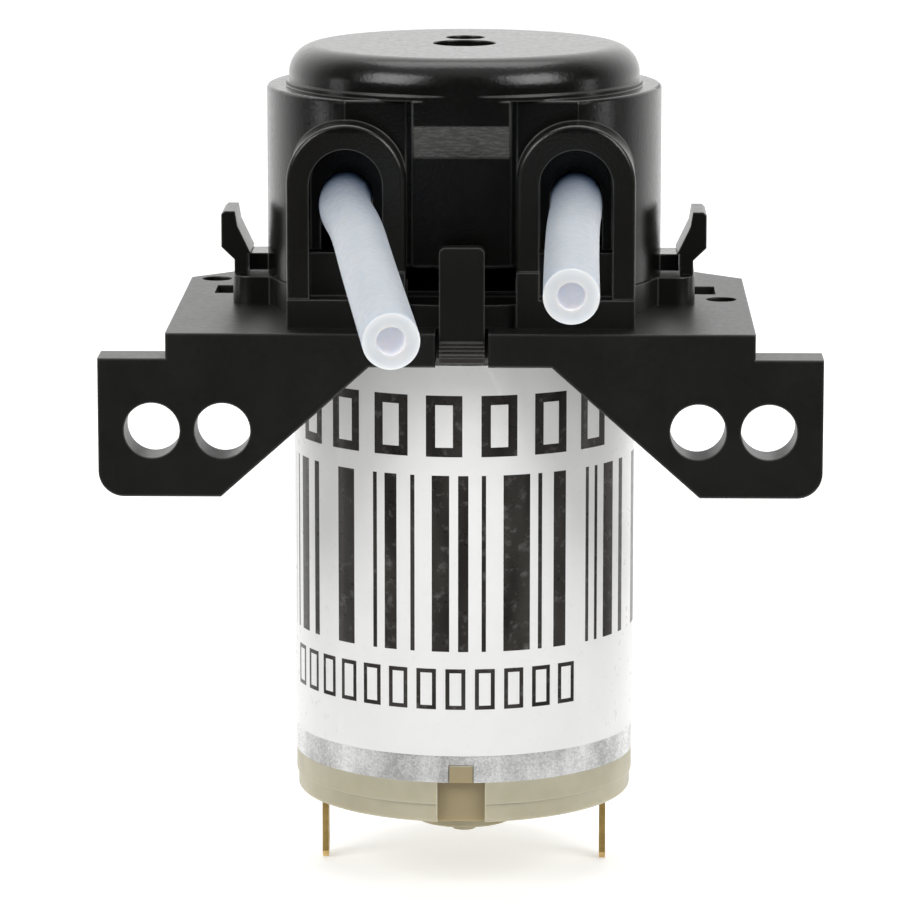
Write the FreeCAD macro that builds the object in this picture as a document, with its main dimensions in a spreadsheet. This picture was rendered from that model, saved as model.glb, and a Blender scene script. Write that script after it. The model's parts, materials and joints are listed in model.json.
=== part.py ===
import FreeCAD, Part
import math
import os
import re
import Sketcher
from FreeCAD import Vector

# Peristaltic dosing pump, in millimetres, +X right, +Y back, +Z up.
# The origin is the centre of the outer pair of bracket holes, on the bracket's front face.
# Every sub-part is drawn about the motor axis, with z = 0 at the plate's underside, where the
# motor's front face sits, and its Placement then carries it to (0, axis_y, seat_z).

doc = FreeCAD.newDocument("PeristalticPump")

DIMENSIONS = [
    # the frame
    ("axis_y", 18.5, "motor axis behind the bracket's front face"),
    ("seat_z", 5.0, "plate underside above the line of the bracket holes"),
    # mounting bracket
    ("plate_thick", 2.67, "bracket plate thickness"),
    ("plate_half", 22.9, "half width of the bracket plate"),
    ("plate_front", 18.5, "bracket front face ahead of the motor axis"),
    ("plate_back", 17.5, "bracket back edge behind the motor axis"),
    ("plate_corner", 6.0, "45 degree cut on the back corners"),
    ("wing_thick", 3.7, "wing thickness"),
    ("wing_half", 28.2, "half span of the wings"),
    ("wing_top", 0.67, "top of the wing tips above the plate underside"),
    ("wing_drop", 10.25, "wings below the plate underside"),
    ("wing_root", 7.1, "half gap between the wings at the plate"),
    ("wing_toe", 18.65, "half gap between the wings at their bottom edge"),
    ("wing_round", 2.0, "outer bottom corner radius"),
    ("bolt_radius", 2.175, "radius of the four bracket holes"),
    ("outer_bolt_x", 24.0, "outer holes from the centre"),
    ("inner_bolt_x", 18.5, "inner holes from the centre"),
    ("latch_x", 0.12, "latch and its gap right of the middle"),
    ("latch_gap", 2.05, "half width of the front gap for the latch"),
    ("latch_gap_depth", 4.4, "depth of the front gap for the latch"),
    ("slot_end", 20.45, "outer end of the plate slots"),
    ("slot_wide", 2.6, "plate slot width"),
    ("slot_long", 4.4, "plate slot length"),
    ("slot_y", 4.7, "plate slot centre behind the axis"),
    ("pip_hole_radius", 1.25, "small plate holes"),
    ("pip_left_x", 20.75, "left small hole from the centre"),
    ("pip_left_y", 10.6, "left small hole behind the axis"),
    ("pip_right_x", 20.8, "right small hole from the centre"),
    ("pip_right_y", -0.2, "right small hole behind the axis"),
    ("edge_round", 0.15, "small radius on moulded edges"),
    # pump head
    ("head_radius", 15.87, "pump head outer radius"),
    ("base_top", 4.95, "top of the head base"),
    ("lug_half", 18.6, "half span of the base lugs"),
    ("lug_wide", 3.7, "half width of a base lug"),
    ("lug_round", 1.6, "corner radius of a base lug"),
    ("lug_waist", 15.6, "where the lug's slanted side starts"),
    ("lug_foot_x", 13.5, "where the slanted side meets the round base, across"),
    ("lug_foot_y", 8.2, "where the slanted side meets the round base, ahead"),
    ("slip", 0.1, "gap between parts that slide past each other"),
    ("bay_floor", 4.5, "base top in the front bay"),
    ("riser_top", 7.1, "top of the base's risers beside the bay"),
    ("saddle_top", 8.4, "top of the saddle inside each port"),
    ("saddle_front", 14.1, "front of the saddle ahead of the axis"),
    ("saddle_back", 12.1, "back of the saddle ahead of the axis"),
    ("thrust_top", 6.4, "top of the carrier's thrust ring"),
    ("thrust_radius", 3.6, "outer radius of the thrust ring"),
    ("shaft_way", 1.6, "shaft clearance hole in the base"),
    ("spigot_top", 6.0, "top of the ring that centres the cover"),
    ("spigot_outer", 13.3, "outer radius of the centring ring"),
    ("spigot_inner", 12.2, "inner radius of the centring ring"),
    ("cover_foot", 5.0, "bottom of the cover"),
    ("shoulder", 20.2, "cover shoulder"),
    ("shoulder_round", 0.3, "shoulder edge radius"),
    ("collar_radius", 14.35, "thin collar under the cap disc"),
    ("collar_top", 20.6, "top of the thin collar"),
    ("disc_radius", 14.1, "cap disc radius"),
    ("disc_top", 23.4, "top of the pump head"),
    ("disc_round", 2.3, "cap disc edge radius"),
    ("face_y", 13.0, "flat front wall ahead of the axis"),
    ("bay_half", 3.8, "half width of the corbel in the front bay"),
    ("corbel_y", 14.05, "flat face of the corbel ahead of the axis"),
    ("corbel_lip", 0.02, "thickness of the corbel at its foot"),
    ("groove_in", 3.9, "inner side of the grooves beside the corbel"),
    ("groove_deep", 0.6, "depth of those grooves"),
    ("corbel_edge", 18.3, "lower edge of the corbel's upright face"),
    ("corbel_foot", 15.7, "where the corbel meets the front wall"),
    ("port_x", 8.95, "port centres from the middle"),
    ("port_z", 14.0, "centre of the port arch"),
    ("port_half", 4.625, "half width of a port tower"),
    ("port_front", 16.1, "port tower face ahead of the axis"),
    ("port_depth", 7.4, "port towers reach this far back"),
    ("port_round", 0.35, "radius of the port tower's front edge"),
    ("mouth_half", 2.85, "half width of a port opening"),
    ("mouth_z", 13.85, "centre of the port opening's arch"),
    ("web_front", 13.1, "front of the web across a port, ahead of the axis"),
    ("web_thick", 0.9, "thickness of that web"),
    ("web_hole", 2.05, "half width of the web's opening for the tube"),
    ("web_root", 0.2, "the web's reach into the port's walls"),
    ("bay_leg", 7.15, "lower edge of the cover's front bay"),
    ("ear_root", 14.87, "inner end of the cover ears, inside the wall"),
    ("ear_half", 17.3, "half span of the cover ears"),
    ("ear_wide", 1.9, "half width of a cover ear"),
    ("ear_foot", 5.25, "underside of the cover ears"),
    ("ear_top", 6.6, "top of the cover ears"),
    ("race_radius", 13.4, "race that the tube lies against"),
    ("race_front", 11.35, "inside of the front wall ahead of the axis"),
    ("race_top", 18.9, "top of the race"),
    ("roof_radius", 12.0, "hollow inside the cap disc"),
    ("roof", 21.3, "underside of the cap disc"),
    ("hub_boss_radius", 4.4, "boss around the centre hole, inside"),
    ("hub_boss_foot", 19.0, "lower end of that boss"),
    ("hub_hole", 2.55, "centre hole radius"),
    ("gate_radius", 1.6, "moulding gate dimple radius"),
    ("gate_y", 4.7, "gate dimple behind the axis"),
    ("gate_deep", 0.35, "gate dimple depth"),
    # rotor
    ("sleeve_radius", 1.75, "drive sleeve radius"),
    ("sleeve_foot", 8.2, "lower end of the drive sleeve"),
    ("shaft_radius", 1.15, "motor shaft radius"),
    ("shaft_top", 17.0, "top of the motor shaft"),
    ("orbit", 6.45, "roller centres from the motor axis"),
    ("roller_radius", 4.65, "roller radius"),
    ("roller_bore", 0.85, "roller bore radius"),
    ("roller_foot", 8.45, "lower end of the rollers"),
    ("roller_long", 8.5, "roller length"),
    ("pin_radius", 0.8, "roller pin radius"),
    ("carrier_radius", 10.2, "roller carrier radius"),
    ("carrier_foot", 6.55, "underside of the lower carrier plate"),
    ("carrier_thick", 1.6, "carrier plate thickness"),
    ("carrier_upper", 17.2, "underside of the upper carrier plate"),
    ("carrier_way", 2.2, "shaft clearance hole in the lower carrier plate"),
    ("hub_radius", 2.49, "carrier hub radius, turning in the centre hole"),
    ("hub_top", 22.5, "top of the carrier hub"),
    # tube
    ("tube_radius", 2.0, "tube outer radius"),
    ("tube_bore", 1.0, "tube bore radius"),
    ("tube_z", 12.7, "tube centre height"),
    ("round_run", 4.0, "length of round tube behind the port's face"),
    ("squeezed_thick", 2.1, "thickness of the squeezed tube"),
    ("squeezed_tall", 5.4, "height of the squeezed tube"),
    ("squeezed_slit", 0.25, "thickness of the squeezed bore"),
    ("lead_in", 6.0, "radius of the bend from the port into the race"),
    # motor
    ("can_radius", 13.75, "motor can radius"),
    ("can_wall", 0.9, "motor can wall"),
    ("can_long", 34.3, "motor can length"),
    ("can_round", 1.2, "front edge radius of the can"),
    ("boss_radius", 4.95, "motor front boss radius"),
    ("boss_high", 1.9, "motor front boss height"),
    ("bush_radius", 2.6, "bearing bush radius"),
    ("bush_bore", 1.2, "bearing bush bore radius"),
    ("screw_x", 8.0, "motor screws from the axis"),
    ("screw_radius", 1.25, "screw shank radius"),
    ("screw_way", 1.4, "screw clearance hole radius"),
    ("screw_head", 2.2, "screw head radius"),
    ("screw_seat", 3.6, "underside of the screw heads"),
    ("screw_head_high", 1.2, "screw head height"),
    ("screw_tip", 3.3, "screws reach this far into the motor"),
    ("key_wide", 2.0, "width of the can's key notches"),
    ("key_high", 1.45, "height of the can's key notches"),
    ("key_gap", 0.05, "gap round each key"),
    ("label_thick", 0.1, "label thickness"),
    ("label_gap", 0.4, "half of the gap between the label's ends"),
    ("label_top", -0.6, "top edge of the label"),
    ("label_foot", -32.1, "bottom edge of the label"),
    ("cap_step", -36.1, "lower edge of the end cap's full-width rim"),
    ("cap_foot", -37.65, "bottom of the end cap"),
    ("cap_rim", 13.6, "lower rim radius of the end cap"),
    ("cap_round", 0.35, "radius of the end cap's lower edge"),
    ("cap_plug", 12.8, "end cap radius inside the can"),
    ("cap_plug_top", -31.6, "top of the end cap inside the can"),
    ("cap_inner", 11.9, "hollow of the end cap"),
    ("cap_floor", -35.7, "end cap floor"),
    ("cap_boss", 4.0, "rear boss radius"),
    ("cap_boss_foot", -40.5, "bottom of the rear boss"),
    ("rear_bush_foot", -39.7, "bottom of the rear bush"),
    ("shaft_foot", -39.6, "bottom of the motor shaft"),
    ("cap_pip", 0.95, "radius of the pip on the rear boss"),
    ("cap_pip_foot", -41.5, "bottom of that pip"),
    ("cap_notch_half", 1.9, "half width of the recess in the cap's rim"),
    ("tab_x", 11.4, "terminals from the axis"),
    ("tab_thick", 0.5, "terminal thickness"),
    ("tab_wide", 2.2, "terminal width"),
    ("tab_foot", -43.9, "terminal tips"),
    ("tab_hole", 0.5, "solder hole radius in a terminal"),
    ("magnet_inner", 10.2, "magnet inner radius"),
    ("magnet_half_angle", 58.0, "half angle that a magnet covers"),
    ("magnet_top", -6.5, "top of the magnets"),
    ("magnet_foot", -30.0, "bottom of the magnets"),
    ("core_radius", 9.7, "armature radius"),
    ("core_top", -9.5, "top of the armature core"),
    ("core_foot", -26.5, "bottom of the armature core"),
    ("slot_orbit", 6.3, "winding slots from the axis"),
    ("slot_radius", 2.3, "winding slot radius"),
    ("coil_radius", 2.2, "coil radius in a slot"),
    ("comm_radius", 3.2, "commutator radius"),
    ("comm_top", -29.4, "top of the commutator"),
    ("comm_foot", -34.2, "bottom of the commutator"),
    ("coil_reach", 0.2, "coils past each end of the core"),
    ("turns_gap", 0.1, "end turns clear of the core"),
    ("turns_high", 2.1, "height of the end turns"),
    ("turns_out", 8.1, "outer radius of the end turns"),
    ("turns_in", 1.95, "inner radius of the end turns"),
    ("core_mouth", 0.5, "half width of a slot's mouth"),
    ("groove_half", 0.15, "half width of a commutator groove"),
    ("groove_foot", 2.6, "bottom of a commutator groove from the axis"),
    ("washer_radius", 2.0, "thrust washer radius"),
    ("washer_gap", 0.1, "end play beside a washer"),
    ("washer_thick", 0.5, "thrust washer thickness"),
    ("brush_near", 3.28, "brush face from the axis"),
    ("brush_far", 5.25, "brush back from the axis"),
    ("brush_wide", 1.0, "half width of a brush"),
    ("brush_foot", -34.0, "bottom of the brushes"),
    ("brush_top", -32.4, "top of the brushes"),
    ("arm_thick", 0.25, "brush arm thickness"),
    ("arm_foot", -34.1, "bottom of the brush arms"),
    ("arm_high", 1.8, "brush arm height"),
    ("arm_end", 1.1, "brush arms end this far ahead of the axis"),
    ("arm_bend", 3.75, "outer side of the arm's cross strip behind the axis"),
    ("spring_half", 27.0, "half angle that the magnet spring covers"),
    ("spring_thick", 0.4, "magnet spring thickness"),
    ("cross_long", 1.2, "half length of the cross in a screw head"),
    ("cross_wide", 0.3, "half width of that cross"),
    ("cross_deep", 0.7, "depth of that cross"),
    # levers and latch
    ("lever_wide", 5.5, "lever width"),
    ("lever_foot", 5.03, "bottom of the lever necks"),
    ("lever_in", 17.4, "inner face of a lever's neck from the axis"),
    ("lever_out", 18.45, "outer face of a lever's neck from the axis"),
    ("lever_knee", 6.2, "height where the thumb pad starts to swell"),
    ("lever_pad_foot", 7.2, "bottom of the thumb pad's upright face"),
    ("lever_pad", 19.5, "outer face of the thumb pad from the axis"),
    ("lever_top", 10.1, "top of the levers"),
    ("lever_bevel", 0.25, "bevel on the outer top edge"),
    ("lever_back", 18.4, "inner edge of a lever's top from the axis"),
    ("hook_back", 18.2, "top of the hook's back from the axis"),
    ("hook_high", 8.9, "top of the hook's back"),
    ("hook_tip", 17.15, "tip of the hook over the ear, from the axis"),
    ("latch_half", 1.77, "half width of the front latch"),
    ("latch_top", 9.3, "top of the front latch"),
    ("latch_round", 0.5, "radius of the latch's top corners"),
    ("latch_root", 14.2, "hinge end of the latch ahead of the axis"),
    ("latch_foot", 0.3, "underside of the latch"),
    ("latch_arm_top", 1.6, "top of the latch's arm"),
    ("latch_back", 16.4, "back of the upright tab ahead of the axis"),
    ("latch_front", 17.85, "front of the upright tab ahead of the axis"),
    ("nose_tip", 15.5, "tip of the nose over the base, ahead of the axis"),
    ("nose_foot", 4.8, "underside of the nose"),
    ("nose_top", 6.1, "top of the nose's slope"),
    ("toe_top", 1.92, "top of the latch's ribbed toe"),
    ("toe_pitch", 0.28, "pitch of the toe's ribs"),
    ("toe_rib", 0.13, "depth of the toe's ribs"),
]

ROLLER_ANGLES = (90, 210, 330)
POLES = 5
TOE_RIBS = 4

sheet = doc.addObject("Spreadsheet::Sheet", "Dims")
for row, (alias, value, note) in enumerate(DIMENSIONS, start=1):
    sheet.set(f"A{row}", note)
    sheet.set(f"B{row}", str(value))
    sheet.setAlias(f"B{row}", alias)
doc.recompute()

PARTS = []
ALIASES = {alias for alias, value, note in DIMENSIONS}


def size(alias):
    """A dimension's value, for shapes that are made in code."""
    return float(sheet.get(alias))


def formula(text):
    """An expression in which every dimension's alias is read from the sheet."""
    return re.sub(r"[a-z][a-z_]+", lambda word: "Dims." + word[0] if word[0] in ALIASES else word[0], text)


def bind(thing, **formulas):
    """Ties an object's sizes to the sheet."""
    for name, text in formulas.items():
        thing.setExpression(name, formula(text))
    return thing


def shift(thing, x="0", y="0", z="0"):
    """Ties an object's place to the sheet."""
    for axis, text in zip("xyz", (x, y, z)):
        thing.setExpression(f"Placement.Base.{axis}", formula(text))
    return thing


def finish(thing, node, x="0", y="0", z="0"):
    """Names a sub-part and carries it from its place about the motor axis into the frame."""
    thing.Label = node
    shift(thing, x, f"axis_y + ( {y} )", f"seat_z + ( {z} )")
    PARTS.append(thing)
    return thing


# ---------------------------------------------------------------- Part primitives


def cylinder(name, radius, foot, top, x="0", y="0"):
    """An upright cylinder between two heights."""
    solid = bind(doc.addObject("Part::Cylinder", name), Radius=radius, Height=f"( {top} ) - ( {foot} )")
    return shift(solid, x, y, foot)


def block(name, low, high):
    """A box from its low corner to its high corner."""
    solid = doc.addObject("Part::Box", name)
    for side, start, end in zip(("Length", "Width", "Height"), low, high):
        solid.setExpression(side, formula(f"( {end} ) - ( {start} )"))
    return shift(solid, *low)


def cut(name, base, tools):
    """The base without its tools."""
    result = doc.addObject("Part::Cut", name)
    result.Base = base
    result.Tool = tools[0] if len(tools) == 1 else join(name + "Tools", tools)
    return result


def join(name, solids):
    """Several solids as one shape."""
    result = doc.addObject("Part::MultiFuse", name)
    result.Shapes = solids
    return result


# ---------------------------------------------------------------- sketches and features


def new_body(name):
    return doc.addObject("PartDesign::Body", name)


def new_sketch(body, plane, name, offset="0"):
    """A sketch on one of its body's origin planes, moved along the plane's normal."""
    sketch = body.newObject("Sketcher::SketchObject", name)
    support = next(item for item in body.Origin.OriginFeatures if item.Role == plane)
    sketch.AttachmentSupport = [(support, "")]
    sketch.MapMode = "FlatFace"
    sketch.setExpression("AttachmentOffset.Base.z", formula(offset))
    doc.recompute()
    return sketch


def value_of(text):
    return float(sheet.evalExpression(formula(text)))


def pin_point(sketch, edge, corner, x, y):
    """Holds a sketch point at two formulas' distances from the sketch's origin."""
    for kind, text in (("DistanceX", x), ("DistanceY", y)):
        index = sketch.addConstraint(Sketcher.Constraint(kind, -1, 1, edge, corner, value_of(text)))
        sketch.setExpression(f"Constraints[{index}]", formula(text))


def pin_height(sketch, edge, y):
    """Holds an arc's centre, which its two ends leave free to slide along Y."""
    index = sketch.addConstraint(Sketcher.Constraint("DistanceY", -1, 1, edge, 3, value_of(y)))
    sketch.setExpression(f"Constraints[{index}]", formula(y))


def outline(sketch, corners):
    """A closed outline. A corner is (x, y), or (x, y, "arc", cx, cy) where an arc leads to it."""
    spots = [Vector(value_of(corner[0]), value_of(corner[1]), 0) for corner in corners]
    edges = []
    for index, corner in enumerate(corners):
        start = spots[index - 1]
        end = spots[index]
        if len(corner) > 2:
            centre = Vector(value_of(corner[3]), value_of(corner[4]), 0)
            first = math.atan2(start.y - centre.y, start.x - centre.x)
            last = math.atan2(end.y - centre.y, end.x - centre.x)
            last += 2 * math.pi if last <= first else 0
            circle = Part.Circle(centre, Vector(0, 0, 1), (start - centre).Length)
            edges.append(sketch.addGeometry(Part.ArcOfCircle(circle, first, last), False))
        else:
            edges.append(sketch.addGeometry(Part.LineSegment(start, end), False))
    for index, corner in enumerate(corners):
        following = edges[(index + 1) % len(edges)]
        sketch.addConstraint(Sketcher.Constraint("Coincident", edges[index], 2, following, 1))
        pin_point(sketch, edges[index], 2, corner[0], corner[1])
        if len(corner) > 2:
            pin_height(sketch, edges[index], corner[4])
    return sketch


def rectangle(sketch, low_x, low_y, high_x, high_y):
    return outline(sketch, [(low_x, low_y), (high_x, low_y), (high_x, high_y), (low_x, high_y)])


def ring(sketch, radius, x="0", y="0"):
    """A circle held by its centre and its radius."""
    circle = Part.Circle(Vector(value_of(x), value_of(y), 0), Vector(0, 0, 1), value_of(radius))
    edge = sketch.addGeometry(circle, False)
    index = sketch.addConstraint(Sketcher.Constraint("Radius", edge, value_of(radius)))
    sketch.setExpression(f"Constraints[{index}]", formula(radius))
    pin_point(sketch, edge, 3, x, y)
    return sketch


def feature(body, kind, sketch, length, reverse=False, midplane=False):
    """A pad or pocket of one sketch, which must add or remove material."""
    before = 0.0 if body.Tip is None else body.Shape.Volume
    made = body.newObject(f"PartDesign::{kind}", kind + sketch.Name)
    made.Profile = sketch
    bind(made, Length=length)
    made.Reversed = reverse
    made.Midplane = midplane
    doc.recompute()
    change = body.Shape.Volume - before
    if (change <= 0.001) if kind == "Pad" else (change >= -0.001):
        raise RuntimeError(f"{made.Name} of {body.Name} changes the volume by {change:.3f}")
    return made


def pad(body, sketch, length, reverse=False, midplane=False):
    return feature(body, "Pad", sketch, length, reverse, midplane)


def pocket(body, sketch, length, reverse=False):
    return feature(body, "Pocket", sketch, length, reverse)


def disc(body, name, radius, foot, top, x="0", y="0"):
    """A round pad between two heights."""
    return pad(body, ring(new_sketch(body, "XY_Plane", name, foot), radius, x, y), f"( {top} ) - ( {foot} )")


def bore(body, name, radius, foot, top, x="0", y="0"):
    """A round pocket between two heights."""
    sketch = ring(new_sketch(body, "XY_Plane", name, top), radius, x, y)
    return pocket(body, sketch, f"( {top} ) - ( {foot} )")


def round_edges(body, radius, chosen):
    """Fillets the edges of a body that a test picks by their middle and their ends."""
    names = []
    for index, edge in enumerate(body.Shape.Edges, start=1):
        middle = edge.valueAt((edge.FirstParameter + edge.LastParameter) / 2)
        if chosen(edge, middle - body.Placement.Base):
            names.append(f"Edge{index}")
    if not names:
        raise RuntimeError(f"no edge to round on {body.Name}")
    rounded = body.Tip
    fillet = body.newObject("PartDesign::Fillet", f"Round{body.Name}")
    fillet.Base = (rounded, names)
    bind(fillet, Radius=radius)
    doc.recompute()
    return fillet


STRAIGHT = "Part::GeomLine"


def near(value, target, slack=0.02):
    return abs(value - target) < slack


def upright(edge):
    """Whether an edge is a straight line along Z."""
    ends = [vertex.Point for vertex in edge.Vertexes]
    return len(ends) == 2 and near(ends[0].x, ends[1].x) and near(ends[0].y, ends[1].y)


def level(edge):
    """Whether an edge is a straight line along Y."""
    ends = [vertex.Point for vertex in edge.Vertexes]
    return len(ends) == 2 and near(ends[0].x, ends[1].x) and near(ends[0].z, ends[1].z)


# ---------------------------------------------------------------- mounting bracket


def make_bracket():
    """Flat plate under the pump head, with a front wing each side that takes the bolts."""
    body = new_body("Bracket")
    plate = outline(new_sketch(body, "XY_Plane", "PlateOutline"), [
        ("-plate_half", "-plate_front"),
        ("latch_x - latch_gap", "-plate_front"),
        ("latch_x - latch_gap", "latch_gap_depth - plate_front"),
        ("latch_x + latch_gap", "latch_gap_depth - plate_front"),
        ("latch_x + latch_gap", "-plate_front"),
        ("plate_half", "-plate_front"),
        ("plate_half", "plate_back - plate_corner"),
        ("plate_half - plate_corner", "plate_back"),
        ("plate_corner - plate_half", "plate_back"),
        ("-plate_half", "plate_back - plate_corner"),
    ])
    pad(body, plate, "plate_thick")
    for side, sign in (("Left", "-"), ("Right", "")):
        wing = outline(new_sketch(body, "XZ_Plane", f"Wing{side}", "plate_front"), [
            (f"{sign}wing_root", "0"),
            (f"{sign}wing_toe", "-wing_drop"),
            (f"{sign}wing_half", "-wing_drop"),
            (f"{sign}wing_half", "wing_top"),
            (f"{sign}wing_root", "wing_top"),
        ])
        pad(body, wing, "wing_thick", reverse=True)
        for place in ("outer", "inner"):
            hole = new_sketch(body, "XZ_Plane", f"Bolt{side}{place}", "plate_front")
            ring(hole, "bolt_radius", f"{sign}{place}_bolt_x", "-seat_z")
            pocket(body, hole, "wing_thick")
        slot = new_sketch(body, "XY_Plane", f"Slot{side}", "plate_thick")
        outer, inner = f"{sign}slot_end", f"{sign}( slot_end - slot_wide )"
        rectangle(slot, inner, "slot_y - slot_long / 2", outer, "slot_y + slot_long / 2")
        pocket(body, slot, "plate_thick")
        bore(body, f"ScrewWay{side}", "screw_way", "0", "plate_thick", f"{sign}screw_x")
    bore(body, "PipLeft", "pip_hole_radius", "0", "plate_thick", "-pip_left_x", "pip_left_y")
    bore(body, "PipRight", "pip_hole_radius", "0", "plate_thick", "pip_right_x", "pip_right_y")
    bore(body, "BossWay", "boss_radius + slip", "0", "plate_thick")
    corner_x, corner_z = size("wing_half"), -size("wing_drop")
    round_edges(body, "wing_round", lambda edge, spot: near(abs(spot.x), corner_x) and near(spot.z, corner_z)
                and level(edge))
    face = -size("plate_front")
    round_edges(body, "edge_round", lambda edge, spot: near(spot.y, face) and edge.Curve.TypeId == STRAIGHT)
    finish(body, "mounting_bracket")


# ---------------------------------------------------------------- pump head shells


def make_base():
    """Round base with two lugs for the levers, a foot under each port and a saddle in it."""
    body = new_body("Base")
    disc(body, "BaseRound", "head_radius", "plate_thick", "base_top")
    lugs = outline(new_sketch(body, "XY_Plane", "Lugs", "plate_thick"), [
        ("-lug_half", "-lug_wide"), ("-lug_waist", "-lug_wide"), ("-lug_foot_x", "-lug_foot_y"),
        ("lug_foot_x", "-lug_foot_y"), ("lug_waist", "-lug_wide"), ("lug_half", "-lug_wide"),
        ("lug_half", "lug_wide"), ("lug_waist", "lug_wide"), ("lug_foot_x", "lug_foot_y"),
        ("-lug_foot_x", "lug_foot_y"), ("-lug_waist", "lug_wide"), ("-lug_half", "lug_wide"),
    ])
    pad(body, lugs, "base_top - plate_thick")
    reach = size("lug_half")
    round_edges(body, "lug_round", lambda edge, spot: near(abs(spot.x), reach) and upright(edge))
    bay = new_sketch(body, "XY_Plane", "BayFloor", "base_top")
    rectangle(bay, "-( port_x - port_half )", "-head_radius - 0.2", "port_x - port_half", "-race_front")
    pocket(body, bay, "base_top - bay_floor")
    for side, sign in (("Left", "-"), ("Right", "")):
        foot = new_sketch(body, "XY_Plane", f"Foot{side}", "plate_thick")
        rectangle(foot, f"{sign}( port_x - port_half )", "-port_front",
                  f"{sign}( port_x + port_half )", "-port_depth")
        pad(body, foot, "base_top - plate_thick")
        riser = new_sketch(body, "XY_Plane", f"Riser{side}", "base_top")
        rectangle(riser, f"{sign}( port_x - port_half )", "-port_front",
                  f"{sign}( port_x - mouth_half )", "-face_y")
        pad(body, riser, "riser_top - base_top")
        saddle = new_sketch(body, "XY_Plane", f"Saddle{side}", "base_top")
        rectangle(saddle, f"{sign}( port_x - mouth_half )", "-saddle_front",
                  f"{sign}( port_x + mouth_half )", "-saddle_back")
        pad(body, saddle, "saddle_top - base_top")
    spigot = ring(new_sketch(body, "XY_Plane", "Spigot", "base_top"), "spigot_outer")
    ring(spigot, "spigot_inner")
    pad(body, spigot, "spigot_top - base_top")
    front = new_sketch(body, "XY_Plane", "SpigotFront", "spigot_top")
    rectangle(front, "-( port_x - port_half - slip )", "-head_radius",
              "port_x - port_half - slip", "-race_front")
    pocket(body, front, "spigot_top - bay_floor")
    disc(body, "ThrustRing", "thrust_radius", "base_top", "thrust_top")
    bore(body, "ShaftWay", "shaft_way", "plate_thick", "thrust_top")
    for side, sign in (("Left", "-"), ("Right", "")):
        bore(body, f"Seat{side}", "screw_head + slip", "screw_seat", "base_top", f"{sign}screw_x")
        bore(body, f"Way{side}", "screw_way", "plate_thick", "screw_seat", f"{sign}screw_x")
    finish(body, "head_base")


def make_cover():
    """Round cover with a flat front, two arched ports, a cap disc and the race inside."""
    body = new_body("Cover")
    disc(body, "Drum", "head_radius", "cover_foot", "shoulder")
    front = new_sketch(body, "XY_Plane", "FrontFlat", "shoulder")
    rectangle(front, "-head_radius", "-head_radius - 0.2", "head_radius", "-face_y")
    pocket(body, front, "shoulder - cover_foot")
    shoulder = size("shoulder")
    round_edges(body, "shoulder_round", lambda edge, spot: near(spot.z, shoulder))
    disc(body, "Collar", "collar_radius", "shoulder", "collar_top")
    disc(body, "CapDisc", "disc_radius", "collar_top", "disc_top")
    top = size("disc_top")
    round_edges(body, "disc_round", lambda edge, spot: near(spot.z, top))
    make_corbel(body)
    for side, sign in (("Left", "-"), ("Right", "")):
        tower = outline(new_sketch(body, "XZ_Plane", f"Tower{side}", "port_front"), [
            (f"{sign}port_x - port_half", "cover_foot"),
            (f"{sign}port_x + port_half", "cover_foot"),
            (f"{sign}port_x + port_half", "port_z"),
            (f"{sign}port_x - port_half", "port_z", "arc", f"{sign}port_x", "port_z"),
        ])
        pad(body, tower, "port_front - port_depth", reverse=True)
    face = -size("port_front")
    foot = size("cover_foot")
    round_edges(body, "port_round", lambda edge, spot: near(spot.y, face) and spot.z > foot + 0.1)
    hollow_cover(body)
    for side, sign in (("Left", "-"), ("Right", "")):
        ear = new_sketch(body, "XY_Plane", f"Ear{side}", "ear_foot")
        rectangle(ear, f"{sign}ear_root", "-ear_wide", f"{sign}ear_half", "ear_wide")
        pad(body, ear, "ear_top - ear_foot")
    bore(body, "CentreHole", "hub_hole", "hub_boss_foot", "disc_top")
    bore(body, "GateDimple", "gate_radius", "disc_top - gate_deep", "disc_top", "0", "gate_y")
    finish(body, "head_cover")


def make_corbel(body):
    """A flat strip of the cap disc's wall reaches down the front, then slopes back to the wall."""
    inside = "-( face_y + race_front ) / 2"
    upper = new_sketch(body, "XY_Plane", "CorbelFace", "corbel_edge")
    rectangle(upper, "-bay_half", "-corbel_y", "bay_half", inside)
    pad(body, upper, "shoulder - corbel_edge")
    above = new_sketch(body, "XY_Plane", "CorbelAbove", "corbel_edge")
    rectangle(above, "-bay_half", "-corbel_y", "bay_half", inside)
    below = new_sketch(body, "XY_Plane", "CorbelBelow", "corbel_foot")
    rectangle(below, "-bay_half", "-face_y - corbel_lip", "bay_half", inside)
    slope = body.newObject("PartDesign::AdditiveLoft", "CorbelSlope")
    slope.Profile = above
    slope.Sections = [below]
    slope.Ruled = True
    doc.recompute()
    flat = new_sketch(body, "XY_Plane", "CorbelFlat", "disc_top")
    rectangle(flat, "-bay_half", "-head_radius", "bay_half", "-corbel_y")
    pocket(body, flat, "disc_top - corbel_edge")
    for side, sign in (("Left", "-"), ("Right", "")):
        groove = new_sketch(body, "XY_Plane", f"FrontGroove{side}", "shoulder")
        rectangle(groove, f"{sign}groove_in", "-head_radius",
                  f"{sign}( port_x - port_half )", "groove_deep - face_y")
        pocket(body, groove, "shoulder - bay_leg")


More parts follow.
